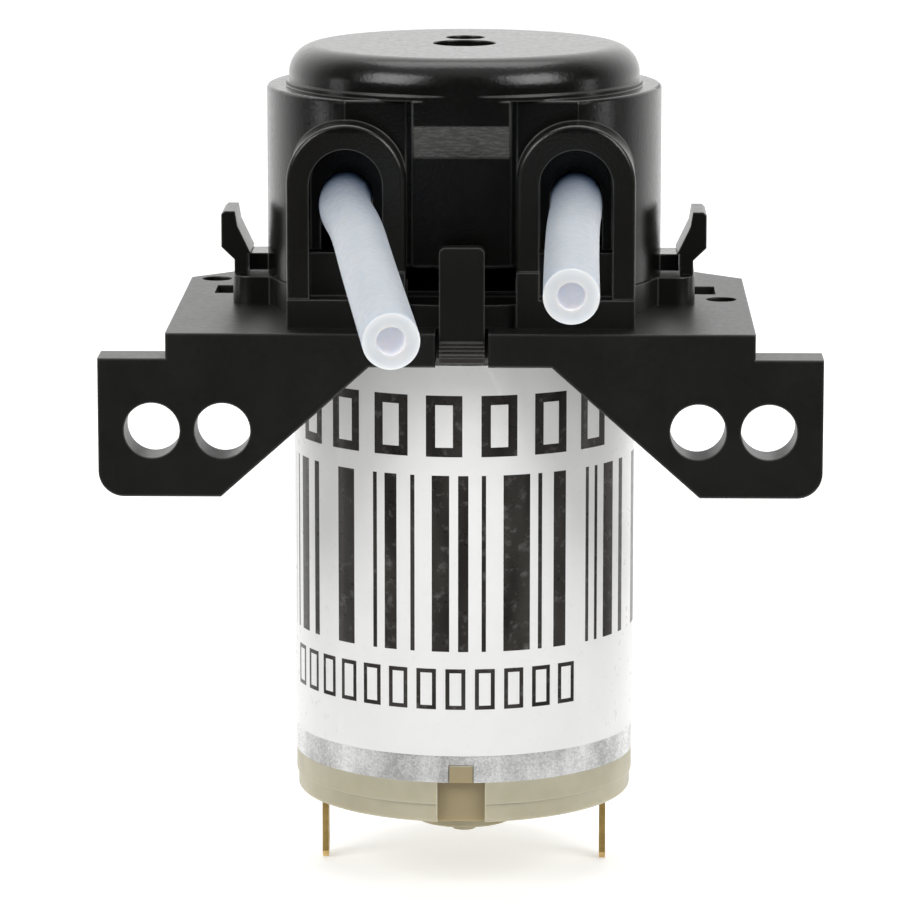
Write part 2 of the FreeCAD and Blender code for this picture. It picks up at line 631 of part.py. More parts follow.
def hollow_cover(body):
    """The race, the hollow under the cap disc, the ports and the lower front bay."""
    half_chord = "sqrt( race_radius ^ 2 - race_front ^ 2 )"
    race = outline(new_sketch(body, "XY_Plane", "Race", "race_top"), [
        (f"-{half_chord}", "-race_front", "arc", "0", "0"), (half_chord, "-race_front"),
    ])
    pocket(body, race, "race_top - cover_foot")
    roof_chord = "sqrt( roof_radius ^ 2 - race_front ^ 2 )"
    roof = outline(new_sketch(body, "XY_Plane", "Roof", "roof"), [
        (f"-{roof_chord}", "-race_front", "arc", "0", "0"), (roof_chord, "-race_front"),
    ])
    pocket(body, roof, "roof - race_top")
    disc(body, "HubBoss", "hub_boss_radius", "hub_boss_foot", "roof")
    for side, sign in (("Left", "-"), ("Right", "")):
        mouth = outline(new_sketch(body, "XZ_Plane", f"Mouth{side}", "port_front"), [
            (f"{sign}port_x - mouth_half", "cover_foot"),
            (f"{sign}port_x + mouth_half", "cover_foot"),
            (f"{sign}port_x + mouth_half", "mouth_z"),
            (f"{sign}port_x - mouth_half", "mouth_z", "arc", f"{sign}port_x", "mouth_z"),
        ])
        pocket(body, mouth, "port_front - port_depth")
        foot = "saddle_top + slip"
        web = outline(new_sketch(body, "XZ_Plane", f"Web{side}", "web_front"), [
            (f"{sign}port_x - mouth_half - web_root", foot),
            (f"{sign}port_x + mouth_half + web_root", foot),
            (f"{sign}port_x + mouth_half + web_root", "mouth_z"),
            (f"{sign}port_x - mouth_half - web_root", "mouth_z", "arc", f"{sign}port_x", "mouth_z"),
        ])
        pad(body, web, "web_thick", reverse=True)
        way = outline(new_sketch(body, "XZ_Plane", f"TubeWay{side}", "web_front"), [
            (f"{sign}port_x - web_hole", foot),
            (f"{sign}port_x + web_hole", foot),
            (f"{sign}port_x + web_hole", "tube_z"),
            (f"{sign}port_x - web_hole", "tube_z", "arc", f"{sign}port_x", "tube_z"),
        ])
        pocket(body, way, "web_thick")
    bay = new_sketch(body, "XZ_Plane", "LowerBay", "port_front")
    rectangle(bay, "mouth_half - port_x", "cover_foot", "port_x - mouth_half", "bay_leg")
    pocket(body, bay, "port_front - race_front")


# ---------------------------------------------------------------- levers and latch


def make_levers():
    """Two spring levers that stand on the base's lugs and hook over the cover's ears."""
    for node, sign in (("left_release_lever", "-"), ("right_release_lever", "")):
        body = new_body("Lever" + node[:4])
        profile = outline(new_sketch(body, "XZ_Plane", "Side" + node[:4]), [
            (f"{sign}lever_in", "lever_foot"),
            (f"{sign}lever_out", "lever_foot"),
            (f"{sign}lever_out", "lever_knee"),
            (f"{sign}lever_pad", "lever_pad_foot"),
            (f"{sign}lever_pad", "lever_top - lever_bevel"),
            (f"{sign}( lever_pad - lever_bevel )", "lever_top"),
            (f"{sign}lever_back", "lever_top"),
            (f"{sign}hook_back", "hook_high"),
            (f"{sign}hook_tip", "ear_top + slip"),
            (f"{sign}lever_in", "ear_top + slip"),
        ])
        pad(body, profile, "lever_wide", midplane=True)
        finish(body, node)


def make_front_latch():
    """Spring tab in the bracket's front gap, with a nose over the base and a ribbed toe."""
    body = new_body("FrontLatch")
    corners = [
        ("-latch_root", "latch_foot"),
        ("-latch_root", "latch_arm_top"),
        ("-latch_back", "latch_arm_top"),
        ("-latch_back", "nose_foot"),
        ("-nose_tip", "nose_foot"),
        ("-latch_back", "nose_top"),
        ("-latch_back", "latch_top"),
        ("-latch_front", "latch_top"),
        ("-latch_front", "toe_top"),
    ]
    for rib in range(1, TOE_RIBS + 1):
        reach = f"-latch_front - ( plate_front - latch_front ) * {rib / TOE_RIBS}"
        top = f"toe_top - toe_pitch * {rib - 1}"
        middle, foot, valley = f"{top} - toe_pitch / 2", f"{top} - toe_pitch", f"{reach} + toe_rib"
        corners += [(reach, top), (reach, middle), (valley, middle), (valley, foot)]
    corners += [("-plate_front", f"toe_top - toe_pitch * {TOE_RIBS}"), ("-plate_front", "latch_foot")]
    profile = outline(new_sketch(body, "YZ_Plane", "LatchSide"), corners)
    pad(body, profile, "latch_half * 2", midplane=True)
    top, half = size("latch_top"), size("latch_half")
    round_edges(body, "latch_round",
                lambda edge, spot: near(spot.z, top) and near(abs(spot.x), half) and level(edge))
    finish(body, "front_latch", "latch_x")


# ---------------------------------------------------------------- rotor


def make_carrier():
    """Two round plates on three pins, with a hub that turns in the cover's centre hole."""
    spots = [(f"orbit * cos( {angle} deg )", f"orbit * sin( {angle} deg )") for angle in ROLLER_ANGLES]
    lower = new_body("CarrierLower")
    disc(lower, "LowerPlate", "carrier_radius", "carrier_foot", "carrier_foot + carrier_thick")
    upper = new_body("CarrierUpper")
    disc(upper, "UpperPlate", "carrier_radius", "carrier_upper", "carrier_upper + carrier_thick")
    disc(upper, "Hub", "hub_radius", "carrier_upper + carrier_thick", "hub_top")
    bore(lower, "ShaftWayLower", "carrier_way", "carrier_foot", "carrier_foot + carrier_thick")
    pins = []
    for number, (x, y) in enumerate(spots, start=1):
        bore(lower, f"PinLower{number}", "pin_radius", "carrier_foot", "carrier_foot + carrier_thick", x, y)
        bore(upper, f"PinUpper{number}", "pin_radius", "carrier_upper", "carrier_upper + carrier_thick", x, y)
        pins.append(cylinder(f"Pin{number}", "pin_radius", "carrier_foot",
                             "carrier_upper + carrier_thick", x, y))
        rim = cylinder(f"Rim{number}", "roller_radius", "roller_foot", "roller_foot + roller_long", x, y)
        hole = cylinder(f"RimBore{number}", "roller_bore", "roller_foot", "roller_foot + roller_long", x, y)
        finish(cut(f"Roller{number}", rim, [hole]), f"roller_{number}")
    finish(lower, "carrier_bottom")
    finish(upper, "carrier_top")
    finish(join("Pins", pins), "roller_pins")


def make_sleeve():
    """Metal sleeve pressed on the motor shaft, which the rollers roll on."""
    outside = cylinder("SleeveOutside", "sleeve_radius", "sleeve_foot", "shaft_top")
    inside = cylinder("SleeveInside", "shaft_radius", "sleeve_foot", "shaft_top")
    finish(cut("Sleeve", outside, [inside]), "drive_sleeve")


# ---------------------------------------------------------------- tube


def oval(spot, heading, across, tall, quarter):
    """A closed upright section of two round ends and two sides, square to a level heading."""
    side = Vector(heading.y, -heading.x, 0)
    rise = Vector(0, 0, 1)
    lift = (tall - across) / 2
    radius = across / 2
    turn = math.radians(quarter)
    corner = [spot + side * (sx * radius * math.cos(turn)) + rise * (sz * (lift + radius * math.sin(turn)))
              for sx, sz in ((1, 1), (-1, 1), (-1, -1), (1, -1))]
    top, bottom = spot + rise * (lift + radius), spot - rise * (lift + radius)
    if quarter:
        left, right = spot - side * radius, spot + side * radius
        middle = [Part.Arc(corner[1], left, corner[2]).toShape(),
                  Part.Arc(corner[3], right, corner[0]).toShape()]
    else:
        middle = [Part.makeLine(corner[1], corner[2]), Part.makeLine(corner[3], corner[0])]
    return Part.Wire([Part.Arc(corner[0], top, corner[1]).toShape(), middle[0],
                      Part.Arc(corner[2], bottom, corner[3]).toShape(), middle[1]])


def race_tube(across, tall, round_size):
    """The tube from one port, squeezed flat round the race, and out of the other port."""
    middle = size("race_radius") - size("squeezed_thick") / 2
    lead, port, front, height = size("lead_in"), size("port_x"), size("port_front"), size("tube_z")
    turn_y = -math.sqrt((middle + lead) ** 2 - (port + lead) ** 2)
    bend = math.degrees(math.atan2(-turn_y, port + lead))
    back = Vector(0, 1, 0)
    up = Vector(0, 0, 1)
    start = Vector(port, turn_y, height)
    pivot = Vector(port + lead, turn_y, height)
    squeezed = Part.Face(oval(start, back, across, tall, 0))
    lead_bend = squeezed.revolve(pivot, up, -bend)
    joint = Vector(middle * math.cos(math.radians(bend)), -middle * math.sin(math.radians(bend)), height)
    heading = Vector(math.sin(math.radians(bend)), math.cos(math.radians(bend)), 0)
    section = Part.Face(oval(joint, heading, across, tall, 0))
    around = section.revolve(Vector(0, 0, height), up, 180 + 2 * bend)
    run = size("round_run")
    narrowing = Part.makeLoft([oval(Vector(port, run - front, height), back, round_size, round_size, 45),
                               oval(start, back, across, tall, 0)], True, True)
    mouth = Part.makeCylinder(round_size / 2, run, Vector(port, -front, height), back)
    right = [mouth, narrowing, lead_bend]
    left = [piece.mirror(Vector(0, 0, 0), Vector(1, 0, 0)) for piece in right]
    return around.fuse(right + left).removeSplitter()


def make_race_tube():
    """Silicone tube in the pump head, squeezed between the race and the rollers."""
    thick, tall, slit = size("squeezed_thick"), size("squeezed_tall"), size("squeezed_slit")
    wall = thick - slit
    outside = race_tube(thick, tall, 2 * size("tube_radius"))
    inside = race_tube(slit, tall - wall, 2 * size("tube_bore"))
    tube = doc.addObject("Part::Feature", "RaceTube")
    tube.Shape = outside.cut(inside)
    finish(tube, "pump_tube")


# Free ends of the tube, from the port's face to the cut end: across, ahead, height.
LEFT_ROUTE = [(-8.95, -16.1, 12.7), (-8.95, -20.1, 12.7), (-7.62, -28.0, 12.2), (-6.5, -40.0, 11.45),
              (-5.2, -52.5, 10.55), (-3.85, -64.9, 9.48)]
RIGHT_ROUTE = [(8.95, -16.1, 12.7), (8.95, -20.1, 12.7), (8.68, -27.5, 12.43), (8.56, -36.5, 12.1),
               (8.48, -46.25, 11.7), (8.45, -55.9, 11.25)]


def rounded_path(points):
    """Straight runs between the points, joined by tangent arcs."""
    edges, radii = [], []
    start = points[0]
    for before, corner, after in zip(points, points[1:], points[2:]):
        arriving, leaving = (before - corner), (after - corner)
        half_turn = (math.pi - arriving.getAngle(leaving)) / 2
        trim = 0.45 * min(arriving.Length, leaving.Length)
        first = corner + arriving.normalize() * trim
        last = corner + leaving.normalize() * trim
        radius = trim / math.tan(half_turn)
        bisector = (arriving + leaving).normalize()
        centre = corner + bisector * (radius / math.cos(half_turn))
        middle = centre - bisector * radius
        edges += [Part.LineSegment(start, first).toShape(), Part.Arc(first, middle, last).toShape()]
        radii.append(round(radius, 1))
        start = last
    edges.append(Part.LineSegment(start, points[-1]).toShape())
    return Part.Wire(edges), radii


def make_tube_end(node, route):
    """A free end of the tube with its bore open."""
    points = [Vector(*spot) for spot in route]
    path, radii = rounded_path(points)
    heading = points[1] - points[0]
    pipes = []
    for radius in (size("tube_radius"), size("tube_bore")):
        profile = Part.Wire(Part.Circle(points[0], heading, radius).toShape())
        pipes.append(path.makePipeShell([profile], True, False))
    tube = doc.addObject("Part::Feature", node.title().replace("_", ""))
    tube.Shape = pipes[0].cut(pipes[1])
    area = math.pi * (size("tube_radius") ** 2 - size("tube_bore") ** 2)
    print(node, "length", round(path.Length, 2), "bend radii", radii,
          "volume over section times length", round(tube.Shape.Volume / (area * path.Length), 4))
    finish(tube, node)


# ---------------------------------------------------------------- motor


def make_can():
    """Steel can, open at the back, with a front boss and three key notches in its rim."""
    body = new_body("Can")
    disc(body, "CanWall", "can_radius", "-can_long", "0")
    round_edges(body, "can_round", lambda edge, spot: near(spot.z, 0))
    bore(body, "CanInside", "can_radius - can_wall", "-can_long", "-can_wall")
    disc(body, "CanBoss", "boss_radius", "-can_wall", "boss_high")
    bore(body, "BushHole", "bush_radius", "-can_wall", "boss_high")
    for side, sign in (("Left", "-"), ("Right", "")):
        bore(body, f"Thread{side}", "screw_radius", "-can_wall", "0", f"{sign}screw_x")
    for name, low, high in (("KeyFront", ("-key_wide / 2", "-head_radius"), ("key_wide / 2", "0")),
                            ("KeySides", ("-head_radius", "-key_wide / 2"), ("head_radius", "key_wide / 2"))):
        key = new_sketch(body, "XY_Plane", name, "key_high - can_long")
        rectangle(key, *low, *high)
        pocket(body, key, "key_high")
    finish(body, "motor_can")


def make_label():
    """Printed film wrapped round the can, with a narrow gap at the back."""
    outside = cylinder("LabelOutside", "can_radius + label_thick", "label_foot", "label_top")
    inside = cylinder("LabelInside", "can_radius", "label_foot", "label_top")
    gap = block("LabelGap", ("-label_gap", "0", "label_foot"), ("label_gap", "head_radius", "label_top"))
    finish(cut("Label", outside, [inside, gap]), "motor_label")


def make_end_cap():
    """Moulded end cap with keys for the can, a rear boss, brush pockets and terminal slots."""
    body = new_body("EndCap")
    disc(body, "CapPlug", "cap_plug", "-can_long", "cap_plug_top")
    disc(body, "CapRim", "can_radius", "cap_step", "-can_long")
    disc(body, "CapLower", "cap_rim", "cap_foot", "cap_step")
    foot, rim = size("cap_foot"), size("cap_rim")
    round_edges(body, "cap_round",
                lambda edge, spot: near(spot.z, foot) and near(math.hypot(spot.x, spot.y), rim))
    bore(body, "CapHollow", "cap_inner", "cap_floor", "cap_plug_top")
    disc(body, "CapBoss", "cap_boss", "cap_boss_foot", "cap_foot")
    disc(body, "CapPip", "cap_pip", "cap_pip_foot", "cap_boss_foot")
    bore(body, "CapBush", "bush_radius", "rear_bush_foot", "cap_floor")
    notch = new_sketch(body, "XY_Plane", "RimNotch", "-can_long")
    rectangle(notch, "-cap_notch_half", "-head_radius", "cap_notch_half", "-cap_plug")
    pocket(body, notch, "-can_long - cap_foot")
    key = new_sketch(body, "XY_Plane", "Keys", "-can_long")
    rectangle(key, "key_gap - key_wide / 2", "key_gap - can_radius", "key_wide / 2 - key_gap", "-cap_inner")
    pad(body, key, "key_high - key_gap")
    for side, sign in (("Left", "-"), ("Right", "")):
        side_key = new_sketch(body, "XY_Plane", f"Keys{side}", "-can_long")
        rectangle(side_key, f"{sign}cap_inner", "key_gap - key_wide / 2",
                  f"{sign}( can_radius - key_gap )", "key_wide / 2 - key_gap")
        pad(body, side_key, "key_high - key_gap")
        slot = new_sketch(body, "XY_Plane", f"TabSlot{side}", "cap_floor")
        rectangle(slot, f"{sign}tab_x - tab_thick / 2", "-tab_wide / 2",
                  f"{sign}tab_x + tab_thick / 2", "tab_wide / 2")
        pocket(body, slot, "cap_floor - cap_foot")
    finish(body, "end_cap")


def make_terminals_and_brushes():
    """Brass tabs through the end cap, and a sprung arm with a carbon brush on each."""
    for side, sign in (("left", "-"), ("right", "")):
        body = new_body("Terminal" + side)
        tab = outline(new_sketch(body, "YZ_Plane", "Tab" + side, f"{sign}tab_x"), [
            ("-tab_wide / 2", "tab_foot + 0.6"), ("-tab_wide / 2 + 0.6", "tab_foot"),
            ("tab_wide / 2 - 0.6", "tab_foot"), ("tab_wide / 2", "tab_foot + 0.6"),
            ("tab_wide / 2", "cap_plug_top - 0.4"), ("-tab_wide / 2", "cap_plug_top - 0.4"),
        ])
        ring(tab, "tab_hole", "0", "tab_foot + 1.5")
        pad(body, tab, "tab_thick", midplane=True)
        finish(body, f"terminal_{side}")
        arm = new_body("Arm" + side)
        inner = f"{sign}brush_far"
        outer = f"{sign}( brush_far + arm_thick )"
        post = f"{sign}( tab_x - tab_thick / 2 )"
        side_of_post = f"{sign}( tab_x - tab_thick / 2 - arm_thick )"
        strip = outline(new_sketch(arm, "XY_Plane", "Strip" + side, "arm_foot"), [
            (inner, "-arm_end"), (outer, "-arm_end"), (outer, "arm_bend - arm_thick"),
            (side_of_post, "arm_bend - arm_thick"), (side_of_post, "-brush_wide"),
            (post, "-brush_wide"), (post, "arm_bend"), (inner, "arm_bend"),
        ])
        pad(arm, strip, "arm_high")
        finish(arm, f"brush_arm_{side}")
        low, high = (f"{sign}brush_far", f"{sign}brush_near") if sign else ("brush_near", "brush_far")
        carbon = block("Brush" + side, (low, "-brush_wide", "brush_foot"), (high, "brush_wide", "brush_top"))
        finish(carbon, f"brush_{side}", low, "-brush_wide", "brush_foot")


def make_armature():
    """Shaft, slotted core, coils, commutator and the washers that set the end play."""
    shaft = cylinder("Shaft", "shaft_radius", "shaft_foot", "shaft_top")
    finish(shaft, "motor_shaft", z="shaft_foot")
    core = new_body("Core")
    disc(core, "CoreRound", "core_radius", "core_foot", "core_top")
    bore(core, "CoreBore", "shaft_radius", "core_foot", "core_top")
    slot = ring(new_sketch(core, "XY_Plane", "CoreSlot", "core_top"), "slot_radius", "slot_orbit")
    first = pocket(core, slot, "core_top - core_foot")
    mouth = new_sketch(core, "XY_Plane", "CoreMouth", "core_top")
    rectangle(mouth, "slot_orbit", "-core_mouth", "core_radius + core_mouth", "core_mouth")
    second = pocket(core, mouth, "core_top - core_foot")
    pattern = core.newObject("PartDesign::PolarPattern", "CoreSlots")
    pattern.Originals = [first, second]
    pattern.Axis = (slot, ["N_Axis"])
    pattern.Angle = 360
    pattern.Occurrences = POLES
    core.Tip = pattern
    doc.recompute()
    finish(core, "armature_core")
    coils = []
    for number in range(POLES):
        x, y = (f"slot_orbit * {ratio:.6f}" for ratio in (math.cos(math.tau * number / POLES),
                                                          math.sin(math.tau * number / POLES)))
        coils.append(cylinder(f"Coil{number}", "coil_radius", "core_foot - coil_reach",
                              "core_top + coil_reach", x, y))
    for name, foot, top in (
            ("HeadTurns", "core_top + turns_gap", "core_top + turns_gap + turns_high"),
            ("FootTurns", "core_foot - turns_gap - turns_high", "core_foot - turns_gap")):
        coils.append(cut(name, cylinder(name + "Out", "turns_out", foot, top),
                         [cylinder(name + "In", "turns_in", foot, top)]))
    finish(join("Windings", coils), "armature_windings")
    copper = cylinder("Segments", "comm_radius", "comm_foot", "comm_top")
    grooves = [cylinder("CommBore", "shaft_radius", "comm_foot", "comm_top")]
    for number in range(POLES):
        groove = block(f"Groove{number}", ("groove_foot", "-groove_half", "comm_foot"),
                       ("brush_far", "groove_half", "comm_top"))
        turned = math.radians(360 * (number + 0.5) / POLES)
        groove.Placement.Rotation = FreeCAD.Rotation(Vector(0, 0, 1), math.degrees(turned))
        shift(groove, f"groove_foot * {math.cos(turned):.6f}",
              f"groove_foot * {math.sin(turned):.6f}", "comm_foot")
        grooves.append(groove)
    finish(cut("Commutator", copper, grooves), "commutator")
    washers = []
    for name, top in (("FrontWasher", "-can_wall - 2 * washer_gap"),
                      ("RearWasher", "comm_foot - washer_gap")):
        foot = f"{top} - washer_thick"
        washers.append(cut(name, cylinder(name + "Out", "washer_radius", foot, top),
                           [cylinder(name + "In", "shaft_radius", foot, top)]))
    finish(join("Washers", washers), "thrust_washers")


def make_field():
    """Two arc magnets, the spring that spreads them, and the bushes that carry the shaft."""
    spread, inner = size("magnet_half_angle"), size("magnet_inner")
    outer, foot, top = size("can_radius") - size("can_wall"), size("magnet_foot"), size("magnet_top")
    for node, middle, half, low in (("magnet_left", 180, spread, inner), ("magnet_right", 0, spread, inner),
                                    ("magnet_spring", 90, size("spring_half"), outer - size("spring_thick"))):
        start = math.radians(middle - half)
        arc = doc.addObject("Part::Feature", node.title().replace("_", ""))
        profile = Part.makePolygon([Vector(low, 0, foot), Vector(outer, 0, foot), Vector(outer, 0, top),
                                    Vector(low, 0, top), Vector(low, 0, foot)])
        solid = Part.Face(profile).revolve(Vector(0, 0, 0), Vector(0, 0, 1), 2 * half)
        solid.rotate(Vector(0, 0, 0), Vector(0, 0, 1), math.degrees(start))
        arc.Shape = solid
        finish(arc, node)
    for node, foot_text, top_text in (("front_bush", "-can_wall", "boss_high"),
                                      ("rear_bush", "rear_bush_foot", "cap_floor")):
        outside = cylinder(node.title().replace("_", "") + "Out", "bush_radius", foot_text, top_text)
        inside = cylinder(node.title().replace("_", "") + "In", "bush_bore", foot_text, top_text)
        finish(cut(node.title().replace("_", ""), outside, [inside]), node)


def make_motor_screws():
    """Two screws from the base, through the bracket, into the motor's front face."""
    screws = []
    for side, sign in (("Left", "-"), ("Right", "")):
        head = cylinder(f"Head{side}", "screw_head", "screw_seat",
                        "screw_seat + screw_head_high", f"{sign}screw_x")
        shank = cylinder(f"Shank{side}", "screw_radius", "-screw_tip", "screw_seat", f"{sign}screw_x")
        cross = []
        for name, wide, long in (("A", "cross_wide", "cross_long"), ("B", "cross_long", "cross_wide")):
            low = (f"{sign}screw_x - {wide}", f"-{long}", "screw_seat + screw_head_high - cross_deep")
            high = (f"{sign}screw_x + {wide}", long, "screw_seat + screw_head_high + cross_deep")
            cross.append(block(f"Cross{side}{name}", low, high))
        screws.append(cut(f"Screw{side}", join(f"ScrewSolid{side}", [head, shank]), cross))
    finish(join("Screws", screws), "motor_screws")


# ---------------------------------------------------------------- build, check and export

make_bracket()
make_base()
make_cover()
make_levers()
make_front_latch()
make_carrier()
make_sleeve()
make_race_tube()
make_tube_end("tube_end_left", LEFT_ROUTE)
make_tube_end("tube_end_right", RIGHT_ROUTE)
make_can()
make_label()
make_end_cap()
make_terminals_and_brushes()
make_armature()
make_field()
make_motor_screws()
doc.recompute()

for item in doc.Objects:
    if "Invalid" in item.State or "Error" in item.State:
        raise RuntimeError(f"{item.Name} ({item.Label}) did not recompute: {item.State}")
for item in PARTS:
    if item.Shape.isNull() or not item.Shape.isValid() or not item.Shape.Solids:
        raise RuntimeError(f"{item.Label} has no valid solid")

os.makedirs("parts", exist_ok=True)
for item in PARTS:
    item.Shape.exportStep(f"parts/{item.Label}.step")
    print(f"{item.Label}: {len(item.Shape.Solids)} solid(s), {item.Shape.Volume:.1f} mm3")
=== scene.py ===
"""The looks of a small DC peristaltic pump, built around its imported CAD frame. Lengths are in metres."""

import json
import math

import bmesh
import bpy
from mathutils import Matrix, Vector


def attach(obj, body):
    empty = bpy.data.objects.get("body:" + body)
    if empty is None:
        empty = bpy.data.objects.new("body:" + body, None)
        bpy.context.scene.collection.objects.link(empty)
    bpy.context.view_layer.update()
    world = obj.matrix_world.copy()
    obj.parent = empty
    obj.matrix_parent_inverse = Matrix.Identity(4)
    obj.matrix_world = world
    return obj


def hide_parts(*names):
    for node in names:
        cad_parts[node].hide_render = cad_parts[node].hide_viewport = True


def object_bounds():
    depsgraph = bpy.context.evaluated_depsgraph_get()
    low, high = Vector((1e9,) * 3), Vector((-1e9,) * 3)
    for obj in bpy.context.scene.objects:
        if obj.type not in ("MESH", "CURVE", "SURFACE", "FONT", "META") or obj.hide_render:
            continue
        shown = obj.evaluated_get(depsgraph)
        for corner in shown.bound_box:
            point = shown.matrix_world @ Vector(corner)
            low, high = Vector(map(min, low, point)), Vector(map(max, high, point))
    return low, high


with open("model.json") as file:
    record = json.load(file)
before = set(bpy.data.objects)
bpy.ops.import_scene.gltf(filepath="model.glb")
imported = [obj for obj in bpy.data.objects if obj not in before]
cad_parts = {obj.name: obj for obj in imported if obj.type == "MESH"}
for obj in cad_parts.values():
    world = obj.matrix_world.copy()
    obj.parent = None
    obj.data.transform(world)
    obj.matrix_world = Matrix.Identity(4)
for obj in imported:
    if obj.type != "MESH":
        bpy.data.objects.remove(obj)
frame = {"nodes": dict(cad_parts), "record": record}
cad_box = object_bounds()
nodes = frame["nodes"]

MM = 0.001
AXIS_Y = 18.5 * MM  # the motor axis stands this far behind the panel face
SEAT_Z = 5.0 * MM  # height of the bracket plate's underside above the frame's origin


def place(x, y, m):
    """The frame's point for mm from the motor axis (x, y) and above the plate's underside (m)."""
    return Vector((x * MM, AXIS_Y + y * MM, SEAT_Z + m * MM))


# ---------------------------------------------------------------- materials


NOISE_WIDE, NOISE_TIGHT = (0.3, 0.7), (0.35, 0.65)  # where nearly all, and most, of a noise lies
BEVEL_SAMPLES = 6
FLAT_LEAN, SHARP_LEAN = 0.995, 0.80  # cosine of the lean at which an edge starts and is fully worn


class Paint:
    """One node material: a Principled shader and the nodes that feed it."""

    def __init__(self, name, **values):
        self.material = bpy.data.materials.new(name)
        self.material.use_nodes = True
        self.tree = self.material.node_tree
        self.tree.nodes.clear()
        output = self.tree.nodes.new("ShaderNodeOutputMaterial")
        self.shader = self.tree.nodes.new("ShaderNodeBsdfPrincipled")
        self.tree.links.new(self.shader.outputs[0], output.inputs["Surface"])
        for socket, value in values.items():
            self.shader.inputs[socket.replace("_", " ")].default_value = value
        texture_space = self.tree.nodes.new("ShaderNodeTexCoord")
        self.local = texture_space.outputs["Object"]

    def link(self, source, target):
        """Sets a socket to a plain value or colour, or joins it to another node's output."""
        if isinstance(source, (int, float, tuple)):
            target.default_value = source
        else:
            self.tree.links.new(source, target)

    def feed(self, socket, source):
        """Joins a node's output to one of the shader's sockets."""
        self.tree.links.new(source, self.shader.inputs[socket])

    def noise(self, size, detail=2.0, rough=0.5, stretch=None):
        """Noise whose lumps are about size metres across. A stretch above 1 packs them closer."""
        node = self.tree.nodes.new("ShaderNodeTexNoise")
        node.inputs["Scale"].default_value = 1.0 / size
        node.inputs["Detail"].default_value = detail
        node.inputs["Roughness"].default_value = rough
        where = self.local
        if stretch:
            mapping = self.tree.nodes.new("ShaderNodeMapping")
            mapping.inputs["Scale"].default_value = stretch
            self.tree.links.new(where, mapping.inputs["Vector"])
            where = mapping.outputs[0]
        self.tree.links.new(where, node.inputs["Vector"])
        return node.outputs["Fac"]

    def cells(self, size):
        """A random grey for each of the cells, about size metres across, that fill space."""
        node = self.tree.nodes.new("ShaderNodeTexVoronoi")
        node.inputs["Scale"].default_value = 1.0 / size
        self.tree.links.new(self.local, node.inputs["Vector"])
        return self.grey(node.outputs["Color"])

    def axis(self, name):
        """One coordinate, X, Y or Z, in metres."""
        split = self.tree.nodes.new("ShaderNodeSeparateXYZ")
        self.tree.links.new(self.local, split.inputs[0])
        return split.outputs[name]

    def grey(self, colour):
        """The brightness of a colour."""
        node = self.tree.nodes.new("ShaderNodeRGBToBW")
        self.tree.links.new(colour, node.inputs[0])
        return node.outputs[0]

    def band(self, source, low, high, to_low=0.0, to_high=1.0):
        """Maps low..high onto to_low..to_high, and holds the ends."""
        node = self.tree.nodes.new("ShaderNodeMapRange")
        self.tree.links.new(source, node.inputs["Value"])
        node.inputs["From Min"].default_value = low
        node.inputs["From Max"].default_value = high
        node.inputs["To Min"].default_value = to_low
        node.inputs["To Max"].default_value = to_high
        return node.outputs["Result"]

    def maths(self, operation, first, second=0.0):
        """The result of one sum, such as ADD or MULTIPLY."""
        node = self.tree.nodes.new("ShaderNodeMath")
        node.operation = operation
        self.link(first, node.inputs[0])
        self.link(second, node.inputs[1])
        return node.outputs[0]

    def between(self, value, low, high):
        """1 where value is between low and high, 0 elsewhere."""
        above = self.maths("GREATER_THAN", value, low)
        below = self.maths("LESS_THAN", value, high)
        return self.maths("MULTIPLY", above, below)

    def inside(self, low, high):
        """1 inside a box given by two opposite corners, 0 outside."""
        within = 1.0
        for name, start, end in zip("XYZ", low, high):
            within = self.maths("MULTIPLY", self.between(self.axis(name), start, end), within)
        return within

    def mix(self, share, first, second):
        """A colour between first and second."""
        node = self.tree.nodes.new("ShaderNodeMix")
        node.data_type = "RGBA"
        self.link(share, node.inputs["Factor"])
        self.link(first, node.inputs["A"])
        self.link(second, node.inputs["B"])
        return node.outputs["Result"]

    def rounded(self, radius):
        """The surface's normal with its sharp edges rounded."""
        soft = self.tree.nodes.new("ShaderNodeBevel")
        soft.samples = BEVEL_SAMPLES
        soft.inputs["Radius"].default_value = radius
        return soft.outputs[0]

    def edge(self, radius):
        """1 on sharp edges and 0 on flats: how far the rounded normal leans from the true one."""
        geometry = self.tree.nodes.new("ShaderNodeNewGeometry")
        dot = self.tree.nodes.new("ShaderNodeVectorMath")
        dot.operation = "DOT_PRODUCT"
        self.tree.links.new(self.rounded(radius), dot.inputs[0])
        self.tree.links.new(geometry.outputs["Normal"], dot.inputs[1])
        return self.band(dot.outputs["Value"], FLAT_LEAN, SHARP_LEAN)

    def bumps(self, *layers, bevel=0.0):
        """Stacks bump layers, each (height source, depth in metres), over rounded edges."""
        normal = self.rounded(bevel) if bevel else None
        for height, depth in layers:
            node = self.tree.nodes.new("ShaderNodeBump")
            node.inputs["Strength"].default_value = 1.0
            node.inputs["Distance"].default_value = depth
            self.tree.links.new(height, node.inputs["Height"])
            if normal:
                self.tree.links.new(normal, node.inputs["Normal"])
            normal = node.outputs[0]
        self.tree.links.new(normal, self.shader.inputs["Normal"])


PLASTIC_IOR = 1.5
GLOSS_SPREAD = 0.03  # how far a moulded skin's roughness wanders either way


